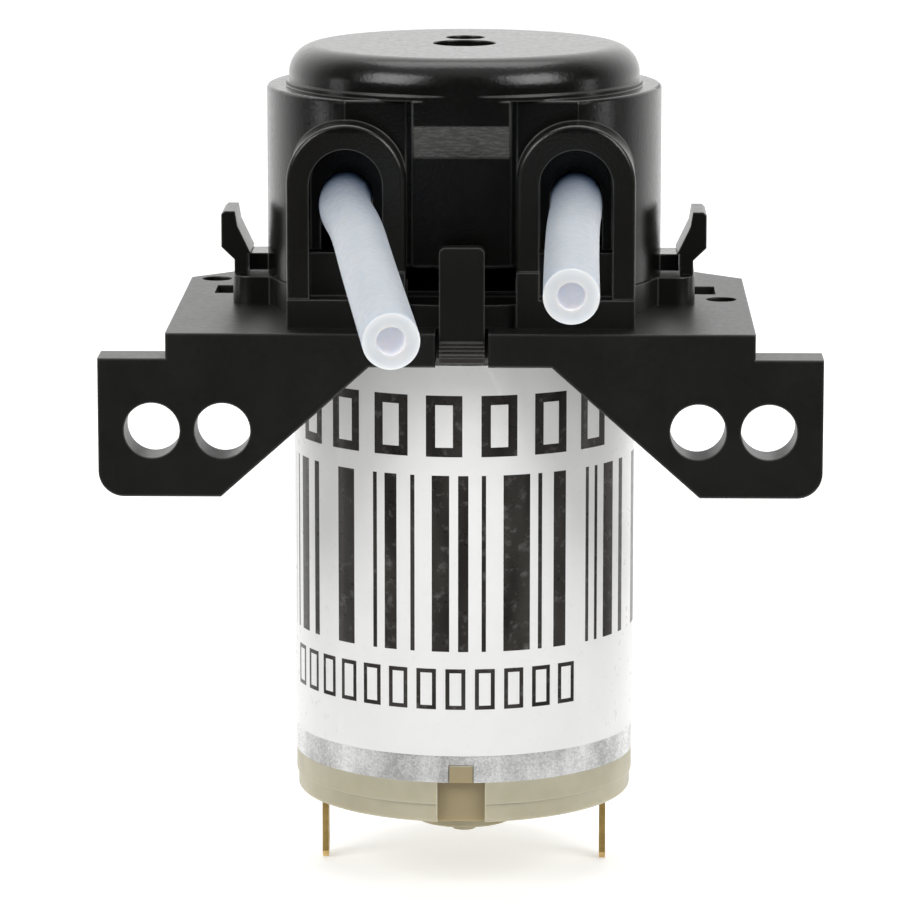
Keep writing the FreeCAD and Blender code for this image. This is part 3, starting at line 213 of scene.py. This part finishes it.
def moulded(name, dark, light, gloss, grain, depth, brushed=None, patch=None):
    """Moulded black plastic: satin skin with a fine orange peel, and sharp edges painted paler as a
    painted highlight.

    gloss is its roughness, and grain and depth are the orange peel's. brushed is a box (low corner,
    high corner) where the mould left fine level ridges, and patch is a box with the paler colour of
    the skin inside it.
    """
    paint = Paint(name, IOR=PLASTIC_IOR)
    mottling = paint.noise(4 * MM, 3.0, 0.6)
    peel = paint.noise(grain, 2.0, 0.55)
    waviness = paint.noise(5 * MM, 1.0, 0.4)
    edge = paint.edge(0.22 * MM)
    body = paint.mix(paint.band(mottling, *NOISE_TIGHT), dark, light)
    if patch:
        low, high, colour = patch
        body = paint.mix(paint.inside(low, high), body, colour)
    layers = [(waviness, 0.004 * MM), (peel, depth)]
    if brushed:
        ridges = paint.noise(0.9 * MM, 3.0, 0.7, stretch=(1.0, 1.0, 5.0))
        box = paint.inside(*brushed)
        layers.append((paint.maths("MULTIPLY", ridges, box), 0.022 * MM))
        body = paint.mix(paint.maths("MULTIPLY", paint.band(ridges, 0.44, 0.62), box), body, RUBBED)
    # painted highlight: sharp edges take a paler colour for the light they catch
    body = paint.mix(paint.maths("MULTIPLY", edge, 0.8), body, PAINTED_EDGE_HIGHLIGHT)
    paint.feed("Base Color", body)
    rough = paint.noise(0.5 * MM, 3.0, 0.6)
    paint.feed("Roughness", paint.band(rough, *NOISE_WIDE, gloss - GLOSS_SPREAD, gloss + GLOSS_SPREAD))
    paint.bumps(*layers, bevel=0.20 * MM)
    return paint.material


def metal(name, dark, light, low, high, grain=0.35 * MM, stretch=None, depth=0.002 * MM, shine=1.0):
    """Bare metal with tarnish, fine scratches or grain, and slightly rounded edges.

    low and high are the ends of its roughness, and shine is how metallic it is.
    """
    paint = Paint(name, Metallic=shine)
    stain = paint.noise(2.5 * MM, 4.0, 0.6)
    fine = paint.noise(grain, 3.0, 0.6, stretch=stretch)
    paint.feed("Base Color", paint.mix(paint.band(stain, 0.35, 0.7), light, dark))
    paint.feed("Roughness", paint.band(fine, *NOISE_WIDE, low, high))
    paint.bumps((fine, depth), bevel=0.06 * MM)
    return paint.material


SPANGLE_SHARE = 0.52  # how much of the zinc's pattern is fine


def galvanised():
    """Zinc-plated sheet: broad bright and dull patches that are its uneven tone and a painted sheen, fine
    crystal spangles and a few dark specks.
    """
    paint = Paint("galvanised_sheet", Metallic=0.40)
    spangle = paint.cells(0.15 * MM)
    # painted sheen: the broad bright and dull patches stand partly for the zinc's highlights
    patches_and_sheen = paint.band(paint.noise(3.2 * MM, 2.0, 0.5, stretch=(1.0, 1.0, 0.7)), 0.36, 0.64)
    streak = paint.noise(0.5 * MM, 3.0, 0.6, stretch=(1.0, 1.0, 0.2))
    fine = paint.maths("MULTIPLY", spangle, SPANGLE_SHARE)
    both = paint.maths("ADD", fine, paint.maths("MULTIPLY", patches_and_sheen, 1.0 - SPANGLE_SHARE))
    specks = paint.band(paint.noise(0.11 * MM, 2.0, 0.6), 0.60, 0.72)
    colour = paint.mix(paint.band(both, 0.15, 0.85), (0.47, 0.47, 0.465, 1), (0.90, 0.90, 0.895, 1))
    colour = paint.mix(paint.maths("MULTIPLY", specks, 0.4), colour, (0.15, 0.15, 0.155, 1))
    paint.feed("Base Color", colour)
    paint.feed("Roughness", paint.band(streak, *NOISE_WIDE, 0.34, 0.48))
    paint.bumps((both, 0.006 * MM), (streak, 0.004 * MM), bevel=0.10 * MM)
    return paint.material


# painted highlight tint for the sharp edges of the dull plastics
SOFT_EDGE_HIGHLIGHT = (0.95, 0.93, 0.86, 1)
# painted shade in a recess, with a thin wall's browner tone
RECESS_SHADE = (0.34, 0.28, 0.165, 1)


def soft_plastic(name, dark, light, gloss, spread, share, recess=None):
    """Dull matter: plastics that light enters a little way, and carbon and ferrite with a share of 0.

    share is how much light enters and spread how far. recess is a box (low corner, high corner) inside
    which the colour turns a darker brown: the thin wall's browner tone with painted shade in the recess.
    """
    paint = Paint(
        name, IOR=PLASTIC_IOR, Specular_IOR_Level=0.25, Subsurface_Weight=share, Subsurface_Scale=spread
    )
    paint.shader.inputs["Subsurface Radius"].default_value = (1.0, 0.75, 0.45)
    cloud = paint.noise(5 * MM, 3.0, 0.6)
    fine = paint.noise(0.30 * MM, 2.0, 0.5)
    edge = paint.edge(0.2 * MM)
    body = paint.mix(paint.band(cloud, *NOISE_TIGHT), dark, light)
    # painted highlight: sharp edges are tinted pale for the light they catch
    body = paint.mix(paint.maths("MULTIPLY", edge, 0.15), body, SOFT_EDGE_HIGHLIGHT)
    # painted shade: inside the recess box the colour turns a darker brown
    if recess:
        body = paint.mix(paint.inside(*recess), body, RECESS_SHADE)
    paint.feed("Base Color", body)
    paint.feed("Roughness", paint.band(fine, *NOISE_WIDE, gloss - 0.06, gloss + 0.08))
    paint.bumps((paint.noise(1.5 * MM, 1.0, 0.4), 0.012 * MM), (fine, 0.003 * MM), bevel=0.12 * MM)
    return paint.material


SILICONE_DULL = (0.70, 0.76, 0.83)
SILICONE_BRIGHT = (0.76, 0.81, 0.87)
# painted shade for the silicone where it enters the ports
PORT_SHADE = (0.015, 0.035, 0.075, 1)


def silicone(name, shade, tint=(1.0, 1.0, 1.0), glow=0.0):
    """Milky, bluish, translucent silicone rubber, with painted shade darkening it towards the ports.

    The shade and tint scale its colour. The glow stands for light that comes through the wall.
    """
    paint = Paint(
        name,
        IOR=1.41,
        Subsurface_Weight=1.0,
        Subsurface_Scale=3.0 * MM,
        Emission_Color=(1.0, 0.97, 0.92, 1),
        Emission_Strength=glow,
    )
    paint.shader.inputs["Subsurface Radius"].default_value = (0.8, 0.95, 1.2)
    cloud = paint.noise(3 * MM, 3.0, 0.6)
    bloom = paint.noise(0.5 * MM, 3.0, 0.6)
    colour = paint.mix(
        paint.band(cloud, *NOISE_WIDE),
        (*(shade * part * hue for part, hue in zip(SILICONE_DULL, tint)), 1.0),
        (*(shade * part * hue for part, hue in zip(SILICONE_BRIGHT, tint)), 1.0),
    )
    # painted shade: the colour darkens towards the port end
    depth = paint.band(paint.axis("Y"), AXIS_Y - 40 * MM, AXIS_Y - 15 * MM)
    depth = paint.maths("POWER", depth, 1.75)
    paint.feed("Base Color", paint.mix(depth, colour, PORT_SHADE))
    paint.feed("Roughness", paint.band(bloom, *NOISE_WIDE, 0.34, 0.50))
    paint.bumps((paint.noise(1.2 * MM, 2.0, 0.5), 0.02 * MM), (bloom, 0.003 * MM))
    return paint.material


BLACK = (0.0024, 0.0024, 0.0020, 1)
BLACK_LIGHT = (0.0040, 0.0040, 0.0034, 1)
SATIN = (0.0078, 0.0078, 0.0066, 1)
GREY_BLACK = (0.0062, 0.0060, 0.0052, 1)
GREY_BLACK_LIGHT = (0.0088, 0.0085, 0.0076, 1)
# painted highlight colour for the sharp edges of the black mouldings
PAINTED_EDGE_HIGHLIGHT = (0.12, 0.12, 0.115, 1)
RUBBED = (0.045, 0.045, 0.042, 1)
# boxes (low corner, high corner), some with the colour inside them
CORBEL = (place(-3.75, -14.2, 15.75), place(3.75, -12.9, 18.25))
# the cap's notch, painted with shade inside
CAP_RECESS = (place(-1.88, -14.4, -37.9), place(1.88, -11.0, -33.0))
PORT_FACES = (place(-14.0, -16.2, 4.9), place(14.0, -13.4, 18.0), SATIN)
LATCH_TOE = (place(-3.0, -30.0, -2.0), place(3.0, -10.0, 1.95), (0.030, 0.027, 0.024, 1))

finishes = {
    "head_plastic": moulded(
        "black_head_plastic", BLACK, BLACK_LIGHT, 0.24, 0.24 * MM, 0.016 * MM, CORBEL, PORT_FACES
    ),
    "bracket_plastic": moulded(
        "black_bracket_plastic", GREY_BLACK, GREY_BLACK_LIGHT, 0.40, 0.20 * MM, 0.007 * MM
    ),
    "silicone": silicone("milky_silicone", 0.48),
    "carrier_plastic": soft_plastic(
        "dark_acetal", (0.022, 0.022, 0.024, 1), (0.036, 0.036, 0.038, 1), 0.38, 0.1 * MM, 0.0
    ),
    "roller_plastic": soft_plastic(
        "roller_nylon", (0.70, 0.69, 0.62, 1), (0.80, 0.79, 0.73, 1), 0.34, 1.2 * MM, 0.4
    ),
    "steel": metal("turned_steel", (0.45, 0.45, 0.46, 1), (0.70, 0.70, 0.71, 1), 0.18, 0.36),
    "galvanised_steel": galvanised(),
    "cream_plastic": soft_plastic(
        "cream_cap_plastic",
        (0.40, 0.37, 0.265, 1),
        (0.47, 0.44, 0.33, 1),
        0.42,
        1.4 * MM,
        0.35,
        CAP_RECESS,
    ),
    "brass": metal(
        "dull_brass",
        (0.36, 0.23, 0.06, 1),
        (0.64, 0.45, 0.16, 1),
        0.42,
        0.60,
        grain=0.20 * MM,
        stretch=(1.0, 1.0, 0.15),
        shine=0.6,
    ),
    "bronze_strip": metal("bronze_strip", (0.45, 0.24, 0.10, 1), (0.70, 0.42, 0.20, 1), 0.22, 0.40),
    "carbon": soft_plastic(
        "brush_carbon", (0.020, 0.020, 0.022, 1), (0.045, 0.045, 0.048, 1), 0.55, 0.1 * MM, 0.0
    ),
    "core_steel": metal(
        "laminated_steel",
        (0.20, 0.20, 0.21, 1),
        (0.42, 0.42, 0.43, 1),
        0.30,
        0.55,
        grain=0.5 * MM,
        stretch=(0.05, 0.05, 1.0),
    ),
    "enamelled_copper": metal(
        "enamelled_copper",
        (0.36, 0.10, 0.03, 1),
        (0.72, 0.28, 0.10, 1),
        0.16,
        0.34,
        grain=0.4 * MM,
        depth=0.03 * MM,
    ),
    "commutator_copper": metal(
        "commutator_copper", (0.50, 0.20, 0.10, 1), (0.85, 0.46, 0.30, 1), 0.18, 0.38
    ),
    "washer_plastic": soft_plastic(
        "washer_nylon", (0.72, 0.70, 0.62, 1), (0.84, 0.82, 0.75, 1), 0.40, 0.8 * MM, 0.3
    ),
    "ferrite": soft_plastic(
        "ferrite", (0.030, 0.029, 0.030, 1), (0.055, 0.053, 0.054, 1), 0.62, 0.1 * MM, 0.0
    ),
    "bush_bronze": metal("sintered_bronze", (0.34, 0.20, 0.09, 1), (0.62, 0.42, 0.22, 1), 0.34, 0.55),
}
slot_of = {row["node"]: row["material_slot"] for row in frame["record"]["subparts"]}


def dress(piece, material):
    """Gives a piece this one material."""
    piece.data.materials.clear()
    piece.data.materials.append(material)


for name, node in nodes.items():
    if slot_of[name] in finishes:
        dress(node, finishes[slot_of[name]])

SMALL_MOULDING = ("black_clip_plastic", SATIN, GREY_BLACK_LIGHT, 0.32, 0.18 * MM, 0.004 * MM)
small_plastic = moulded(*SMALL_MOULDING)
for name in ("head_base", "left_release_lever", "right_release_lever"):
    dress(nodes[name], small_plastic)
dress(nodes["front_latch"], moulded(*SMALL_MOULDING, patch=LATCH_TOE))

# ---------------------------------------------------------------- tubes

TUBE_OUTER = 4.0 * MM
TUBE_BORE = 2.0 * MM
TUBE_SIDES = 64
TUBE_STEPS = 90  # rings of vertices along the skin, and as many along the bore
LEFT_ROUTE = [
    (-8.95, -16.1, 12.7),
    (-8.95, -20.1, 12.7),
    (-7.62, -28.0, 12.2),
    (-6.5, -40.0, 11.45),
    (-5.2, -52.5, 10.55),
    (-3.85, -64.9, 9.48),
]
RIGHT_ROUTE = [
    (8.95, -16.1, 12.7),
    (8.95, -20.1, 12.7),
    (8.68, -27.5, 12.43),
    (8.56, -36.5, 12.1),
    (8.48, -46.25, 11.7),
    (8.45, -55.9, 11.25),
]


def centre_line(name, points):
    """Points along a smooth NURBS curve whose control points are the route's points."""
    curve = bpy.data.curves.new(name + "_line", "CURVE")
    curve.dimensions = "3D"
    curve.resolution_u = 16
    spline = curve.splines.new("NURBS")
    spline.points.add(len(points) - 1)
    for point, where in zip(spline.points, points):
        point.co = (*place(*where), 1.0)
    spline.order_u = 3
    spline.use_endpoint_u = True
    holder = bpy.data.objects.new(name + "_line", curve)
    mesh = bpy.data.meshes.new_from_object(holder)
    line = [vertex.co.copy() for vertex in mesh.vertices]
    bpy.data.objects.remove(holder)
    return line


# painted light: paler copies of the tube's silicone for its cut end and bore, and a glow in the bore
LIT_CUT_SILICONE = silicone("cut_silicone_painted_light", 0.62, tint=(1.14, 1.06, 0.96))
LIT_BORE_SILICONE = silicone("bore_silicone_painted_light", 1.08, tint=(1.05, 0.95, 0.91), glow=0.055)


def sweep(name, line, profile, sides, material):
    """A closed skin swept along line, with paler painted-light copies of its silicone on the cut end and
    in the bore.

    profile gives a loop of (distance along, radius): the outside, the cut end, then the bore.
    """
    bm = bmesh.new()
    rings = []
    lengths = [0.0]
    for first, second in zip(line, line[1:]):
        lengths.append(lengths[-1] + (second - first).length)
    up = Vector((0, 0, 1))

    def at(distance):
        """The point this far along the line, and the line's direction there."""
        distance = min(max(distance, 0.0), lengths[-1])
        index = 1
        while index < len(lengths) - 1 and lengths[index] < distance:
            index += 1
        share = (distance - lengths[index - 1]) / (lengths[index] - lengths[index - 1])
        point = line[index - 1].lerp(line[index], share)
        before = line[max(index - 2, 0)]
        after = line[min(index + 1, len(line) - 1)]
        return point, (after - before).normalized()

    for distance, radius in profile(lengths[-1]):
        point, along = at(distance)
        across = along.cross(up).normalized()
        over = across.cross(along)
        ring = []
        for k in range(sides):
            turn = 2 * math.pi * k / sides
            outwards = math.cos(turn) * across + math.sin(turn) * over
            ring.append(bm.verts.new(point + radius * outwards))
        rings.append(ring)
    for ring, following in zip(rings, rings[1:] + rings[:1]):
        for k in range(sides):
            bm.faces.new((ring[k], ring[(k + 1) % sides], following[(k + 1) % sides], following[k]))
    bmesh.ops.recalc_face_normals(bm, faces=bm.faces)
    mesh = bpy.data.meshes.new(name)
    bm.to_mesh(mesh)
    bm.free()
    piece = bpy.data.objects.new(name, mesh)
    bpy.context.scene.collection.objects.link(piece)
    dress(piece, material)
    piece.data.materials.append(LIT_CUT_SILICONE)
    piece.data.materials.append(LIT_BORE_SILICONE)
    # the bands of faces follow the rings, and the four bands in the middle are the cut end
    cut_starts = sides * (len(rings) // 2 - 2)
    bore_starts = sides * (len(rings) // 2 + 2)
    for polygon in mesh.polygons:
        polygon.use_smooth = True
        polygon.material_index = int(polygon.index >= cut_starts) + int(polygon.index >= bore_starts)
    return piece


def tube_profile(length):
    """Outer skin from the port to the cut end, a square lip a little worn, then back down the bore."""
    outer, bore, lip = TUBE_OUTER / 2, TUBE_BORE / 2, 0.07 * MM
    out = [(length * k / TUBE_STEPS, outer) for k in range(TUBE_STEPS)]
    end = [
        (length - lip, outer),
        (length - 0.3 * lip, outer - 0.3 * lip),
        (length, outer - lip),
        (length, bore + 1.2 * lip),
        (length - 0.4 * lip, bore + 0.4 * lip),
        (length - 1.3 * lip, bore),
    ]
    back = [(length * (1 - k / TUBE_STEPS), bore) for k in range(1, TUBE_STEPS + 1)]
    return out + end + back


for name, route, node, length in (
    ("silicone_tube_left", LEFT_ROUTE, "tube_end_left", 0.0492),
    ("silicone_tube_right", RIGHT_ROUTE, "tube_end_right", 0.0398),
):
    line = centre_line(name, route)
    tube = sweep(name, line, tube_profile, TUBE_SIDES, finishes["silicone"])
    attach(tube, "housing")
    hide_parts(node)

# ---------------------------------------------------------------- label

LABEL_RADIUS = 13.85  # mm, like every measure of the print
SPARE_ARC = 60.0  # added to the way round the label, so that it is never below 0
BAR_UNIT = 0.36
# in units, dark and light in turn
BAR_WIDTHS = (2, 3, 1, 4, 6, 2, 1, 3, 3, 6, 1, 2, 1, 2, 4, 3, 2, 7, 5, 5, 1, 2, 3, 3, 1, 4, 4, 2)
BAR_HEIGHTS = (-23.6, -9.4)
BAR_TURNS = (-1.35, 2.3)  # radians round the motor from its front
# each row of frames: pitch, width, heights, width of its lines, turns
FRAME_ROWS = (
    (4.4, 2.9, (-7.9, -3.0), 0.75, (-1.2, 0.97)),
    (2.35, 1.6, (-28.3, -25.0), 0.33, (-1.31, 0.72)),
)
FILM_DULL, FILM_BRIGHT = (0.725, 0.725, 0.716, 1), (0.765, 0.765, 0.755, 1)
INK_DARK, INK_WORN = (0.018, 0.016, 0.014, 1), (0.042, 0.038, 0.034, 1)


def bar_ramp(paint):
    """A ramp over one run of bars: 1 where it is dark."""
    ramp = paint.tree.nodes.new("ShaderNodeValToRGB")
    ramp.color_ramp.interpolation = "CONSTANT"
    while len(ramp.color_ramp.elements) < len(BAR_WIDTHS):
        ramp.color_ramp.elements.new(0.5)
    reached = 0
    for index, (element, width) in enumerate(zip(ramp.color_ramp.elements, BAR_WIDTHS)):
        ink = 1.0 if index % 2 == 0 else 0.0
        element.position = reached / sum(BAR_WIDTHS)
        element.color = (ink, ink, ink, 1)
        reached += width
    return ramp


def label_material():
    """Glossy white film with dark bars and rows of frames. The bars are our own, and say nothing."""
    paint = Paint(
        "printed_label_film",
        IOR=PLASTIC_IOR,
        Specular_IOR_Level=0.22,
        Coat_Weight=0.10,
        Coat_Roughness=0.12,
    )
    forward = paint.maths("MULTIPLY", paint.maths("SUBTRACT", paint.axis("Y"), AXIS_Y), -1.0)
    turn = paint.maths("ARCTAN2", paint.axis("X"), forward)
    arc = paint.maths("MULTIPLY", turn, LABEL_RADIUS)
    height = paint.maths("DIVIDE", paint.maths("SUBTRACT", paint.axis("Z"), SEAT_Z), MM)

    def repeated(pitch):
        """How far round its own pitch each point stands, from 0 to 1."""
        shifted = paint.maths("ADD", arc, SPARE_ARC)
        return paint.maths("FRACT", paint.maths("DIVIDE", shifted, pitch))

    def frames(pitch, wide, heights, line, turns):
        """A row of plain upright frames round the label."""
        low, high = heights
        step = paint.maths("MULTIPLY", repeated(pitch), pitch)
        outer = paint.maths("MULTIPLY", paint.between(step, 0.0, wide), paint.between(height, low, high))
        across = paint.between(step, line, wide - line)
        inner = paint.maths("MULTIPLY", across, paint.between(height, low + line, high - line))
        return paint.maths("MULTIPLY", paint.maths("SUBTRACT", outer, inner), paint.between(turn, *turns))

    ramp = bar_ramp(paint)
    paint.tree.links.new(repeated(sum(BAR_WIDTHS) * BAR_UNIT), ramp.inputs["Fac"])
    bars = paint.maths("MULTIPLY", paint.grey(ramp.outputs["Color"]), paint.between(height, *BAR_HEIGHTS))
    ink = paint.maths("MULTIPLY", bars, paint.between(turn, *BAR_TURNS))
    for row in FRAME_ROWS:
        ink = paint.maths("MAXIMUM", ink, frames(*row))
    wear = paint.band(paint.noise(0.9 * MM, 4.0, 0.65), 0.25, 0.45, 0.90, 1.0)
    ink = paint.maths("MULTIPLY", ink, wear)
    film = paint.mix(paint.band(paint.noise(6 * MM, 3.0, 0.6), *NOISE_WIDE), FILM_DULL, FILM_BRIGHT)
    streaks = paint.noise(3 * MM, 2.0, 0.5, stretch=(1.0, 1.0, 0.3))
    black = paint.mix(paint.band(streaks, *NOISE_TIGHT), INK_DARK, INK_WORN)
    paint.feed("Base Color", paint.mix(ink, film, black))
    paint.feed("Roughness", paint.band(paint.noise(0.8 * MM, 3.0, 0.6), *NOISE_WIDE, 0.26, 0.36))
    # the film lifts in one slanting crease near its top edge
    slant = paint.maths("ADD", arc, paint.maths("MULTIPLY", height, 0.45))
    crease = paint.maths("MULTIPLY", paint.band(slant, 1.6, 2.0), paint.band(slant, 4.2, 3.0))
    crease = paint.maths("MULTIPLY", crease, paint.band(height, -9.0, -3.0))
    paint.bumps(
        (crease, 0.07 * MM),
        (paint.noise(5 * MM, 2.0, 0.5), 0.02 * MM),
        (paint.noise(0.25 * MM, 1.0, 0.5), 0.001 * MM),
    )
    return paint.material


dress(nodes["motor_label"], label_material())

# ---------------------------------------------------------------- floor, light, camera


FLOOR_REACH = 6.0
FLOOR_GAP = 0.02 * MM
FLOOR_GLOW = 0.42  # keeps the shadow faint


def studio_floor():
    """A pale floor just under the terminals."""
    paint = Paint("pale_floor", Emission_Color=(1, 1, 1, 1), Emission_Strength=FLOOR_GLOW)
    cloud = paint.noise(0.3, 2.0, 0.5)
    paint.feed("Base Color", paint.mix(cloud, (0.72, 0.72, 0.725, 1), (0.76, 0.76, 0.765, 1)))
    paint.feed("Roughness", paint.band(paint.noise(0.02, 2.0, 0.5), *NOISE_WIDE, 0.55, 0.65))
    mesh = bpy.data.meshes.new("floor")
    low = cad_box[0].z - FLOOR_GAP
    corners = ((-1, -1), (1, -1), (1, 1), (-1, 1))
    mesh.from_pydata([(x * FLOOR_REACH, y * FLOOR_REACH, low) for x, y in corners], [], [(0, 1, 2, 3)])
    floor = bpy.data.objects.new("floor", mesh)
    bpy.context.scene.collection.objects.link(floor)
    dress(floor, paint.material)
    floor.visible_glossy = False


studio_floor()

TARGET = place(0.0, 0.0, -9.83)  # on the motor's axis, at the height the camera looks at


def softbox(name, where, width, height, power):
    """An area light at where (metres from the target), facing the target."""
    light = bpy.data.lights.new(name, "AREA")
    light.shape = "RECTANGLE"
    light.size, light.size_y = width, height
    light.energy = power
    lamp = bpy.data.objects.new(name, light)
    bpy.context.scene.collection.objects.link(lamp)
    lamp.location = TARGET + Vector(where)
    lamp.rotation_mode = "QUATERNION"
    lamp.rotation_quaternion = (-Vector(where)).to_track_quat("-Z", "Y")


for side, sign in (("left", -1), ("right", 1)):
    softbox(side + "_softbox", (sign * 0.62, -0.50, 0.50), 0.50, 0.50, 4.4)
    softbox(side + "_strip", (sign * 0.75, 0.0, -0.10), 0.05, 0.60, 0.42)
softbox("top_softbox", (0.0, 0.20, 0.75), 0.70, 0.40, 2.4)

BACKDROP_LIGHT = 1.42
CEILING_LIGHT = 0.62
TABLE_LIGHT = 1.5
ROOM_LIGHT = 0.035


def studio_world():
    """A white backdrop behind the object, pale above and below, and a dark room on the camera's side."""
    world = bpy.data.worlds.new("studio")
    bpy.context.scene.world = world
    world.use_nodes = True
    tree = world.node_tree
    direction = tree.nodes.new("ShaderNodeTexCoord")
    split = tree.nodes.new("ShaderNodeSeparateXYZ")
    tree.links.new(direction.outputs["Generated"], split.inputs[0])
    strongest = None
    for axis, start, full, light in (
        ("Y", 0.08, 0.88, BACKDROP_LIGHT),
        ("Z", 0.60, 0.95, CEILING_LIGHT),
        ("Z", -0.45, -0.75, TABLE_LIGHT),
    ):
        fade = tree.nodes.new("ShaderNodeMapRange")
        fade.interpolation_type = "SMOOTHSTEP"
        tree.links.new(split.outputs[axis], fade.inputs["Value"])
        fade.inputs["From Min"].default_value = start
        fade.inputs["From Max"].default_value = full
        fade.inputs["To Min"].default_value = ROOM_LIGHT
        fade.inputs["To Max"].default_value = light
        if strongest is None:
            strongest = fade.outputs["Result"]
            continue
        most = tree.nodes.new("ShaderNodeMath")
        most.operation = "MAXIMUM"
        tree.links.new(strongest, most.inputs[0])
        tree.links.new(fade.outputs["Result"], most.inputs[1])
        strongest = most.outputs[0]
    background = tree.nodes["Background"]
    background.inputs["Color"].default_value = (1.0, 0.995, 0.99, 1)
    tree.links.new(strongest, background.inputs["Strength"])


studio_world()
bpy.context.scene.view_settings.view_transform = "Standard"

CAMERA_DISTANCE = 408 * MM
CAMERA_PITCH = math.radians(10.33)
CAMERA_TURN = math.radians(1.0)
CAMERA_LENS = 200.2
CAMERA_SENSOR = 36.0
AIM_LEFT = 1.157 * MM  # the motor stands a little right of the picture's middle

camera_data = bpy.data.cameras.new("camera")
camera_data.sensor_width = CAMERA_SENSOR
camera_data.lens = CAMERA_LENS
camera_data.clip_start, camera_data.clip_end = 0.01, 50.0
camera = bpy.data.objects.new("camera", camera_data)
bpy.context.scene.collection.objects.link(camera)
back = Vector(
    (
        math.sin(CAMERA_TURN) * math.cos(CAMERA_PITCH),
        -math.cos(CAMERA_TURN) * math.cos(CAMERA_PITCH),
        math.sin(CAMERA_PITCH),
    )
)
right = Vector((math.cos(CAMERA_TURN), math.sin(CAMERA_TURN), 0.0))
camera.location = TARGET + back * CAMERA_DISTANCE
aim = TARGET - right * AIM_LEFT
camera.rotation_mode = "QUATERNION"
camera.rotation_quaternion = (aim - camera.location).to_track_quat("-Z", "Y")
bpy.context.scene.camera = camera
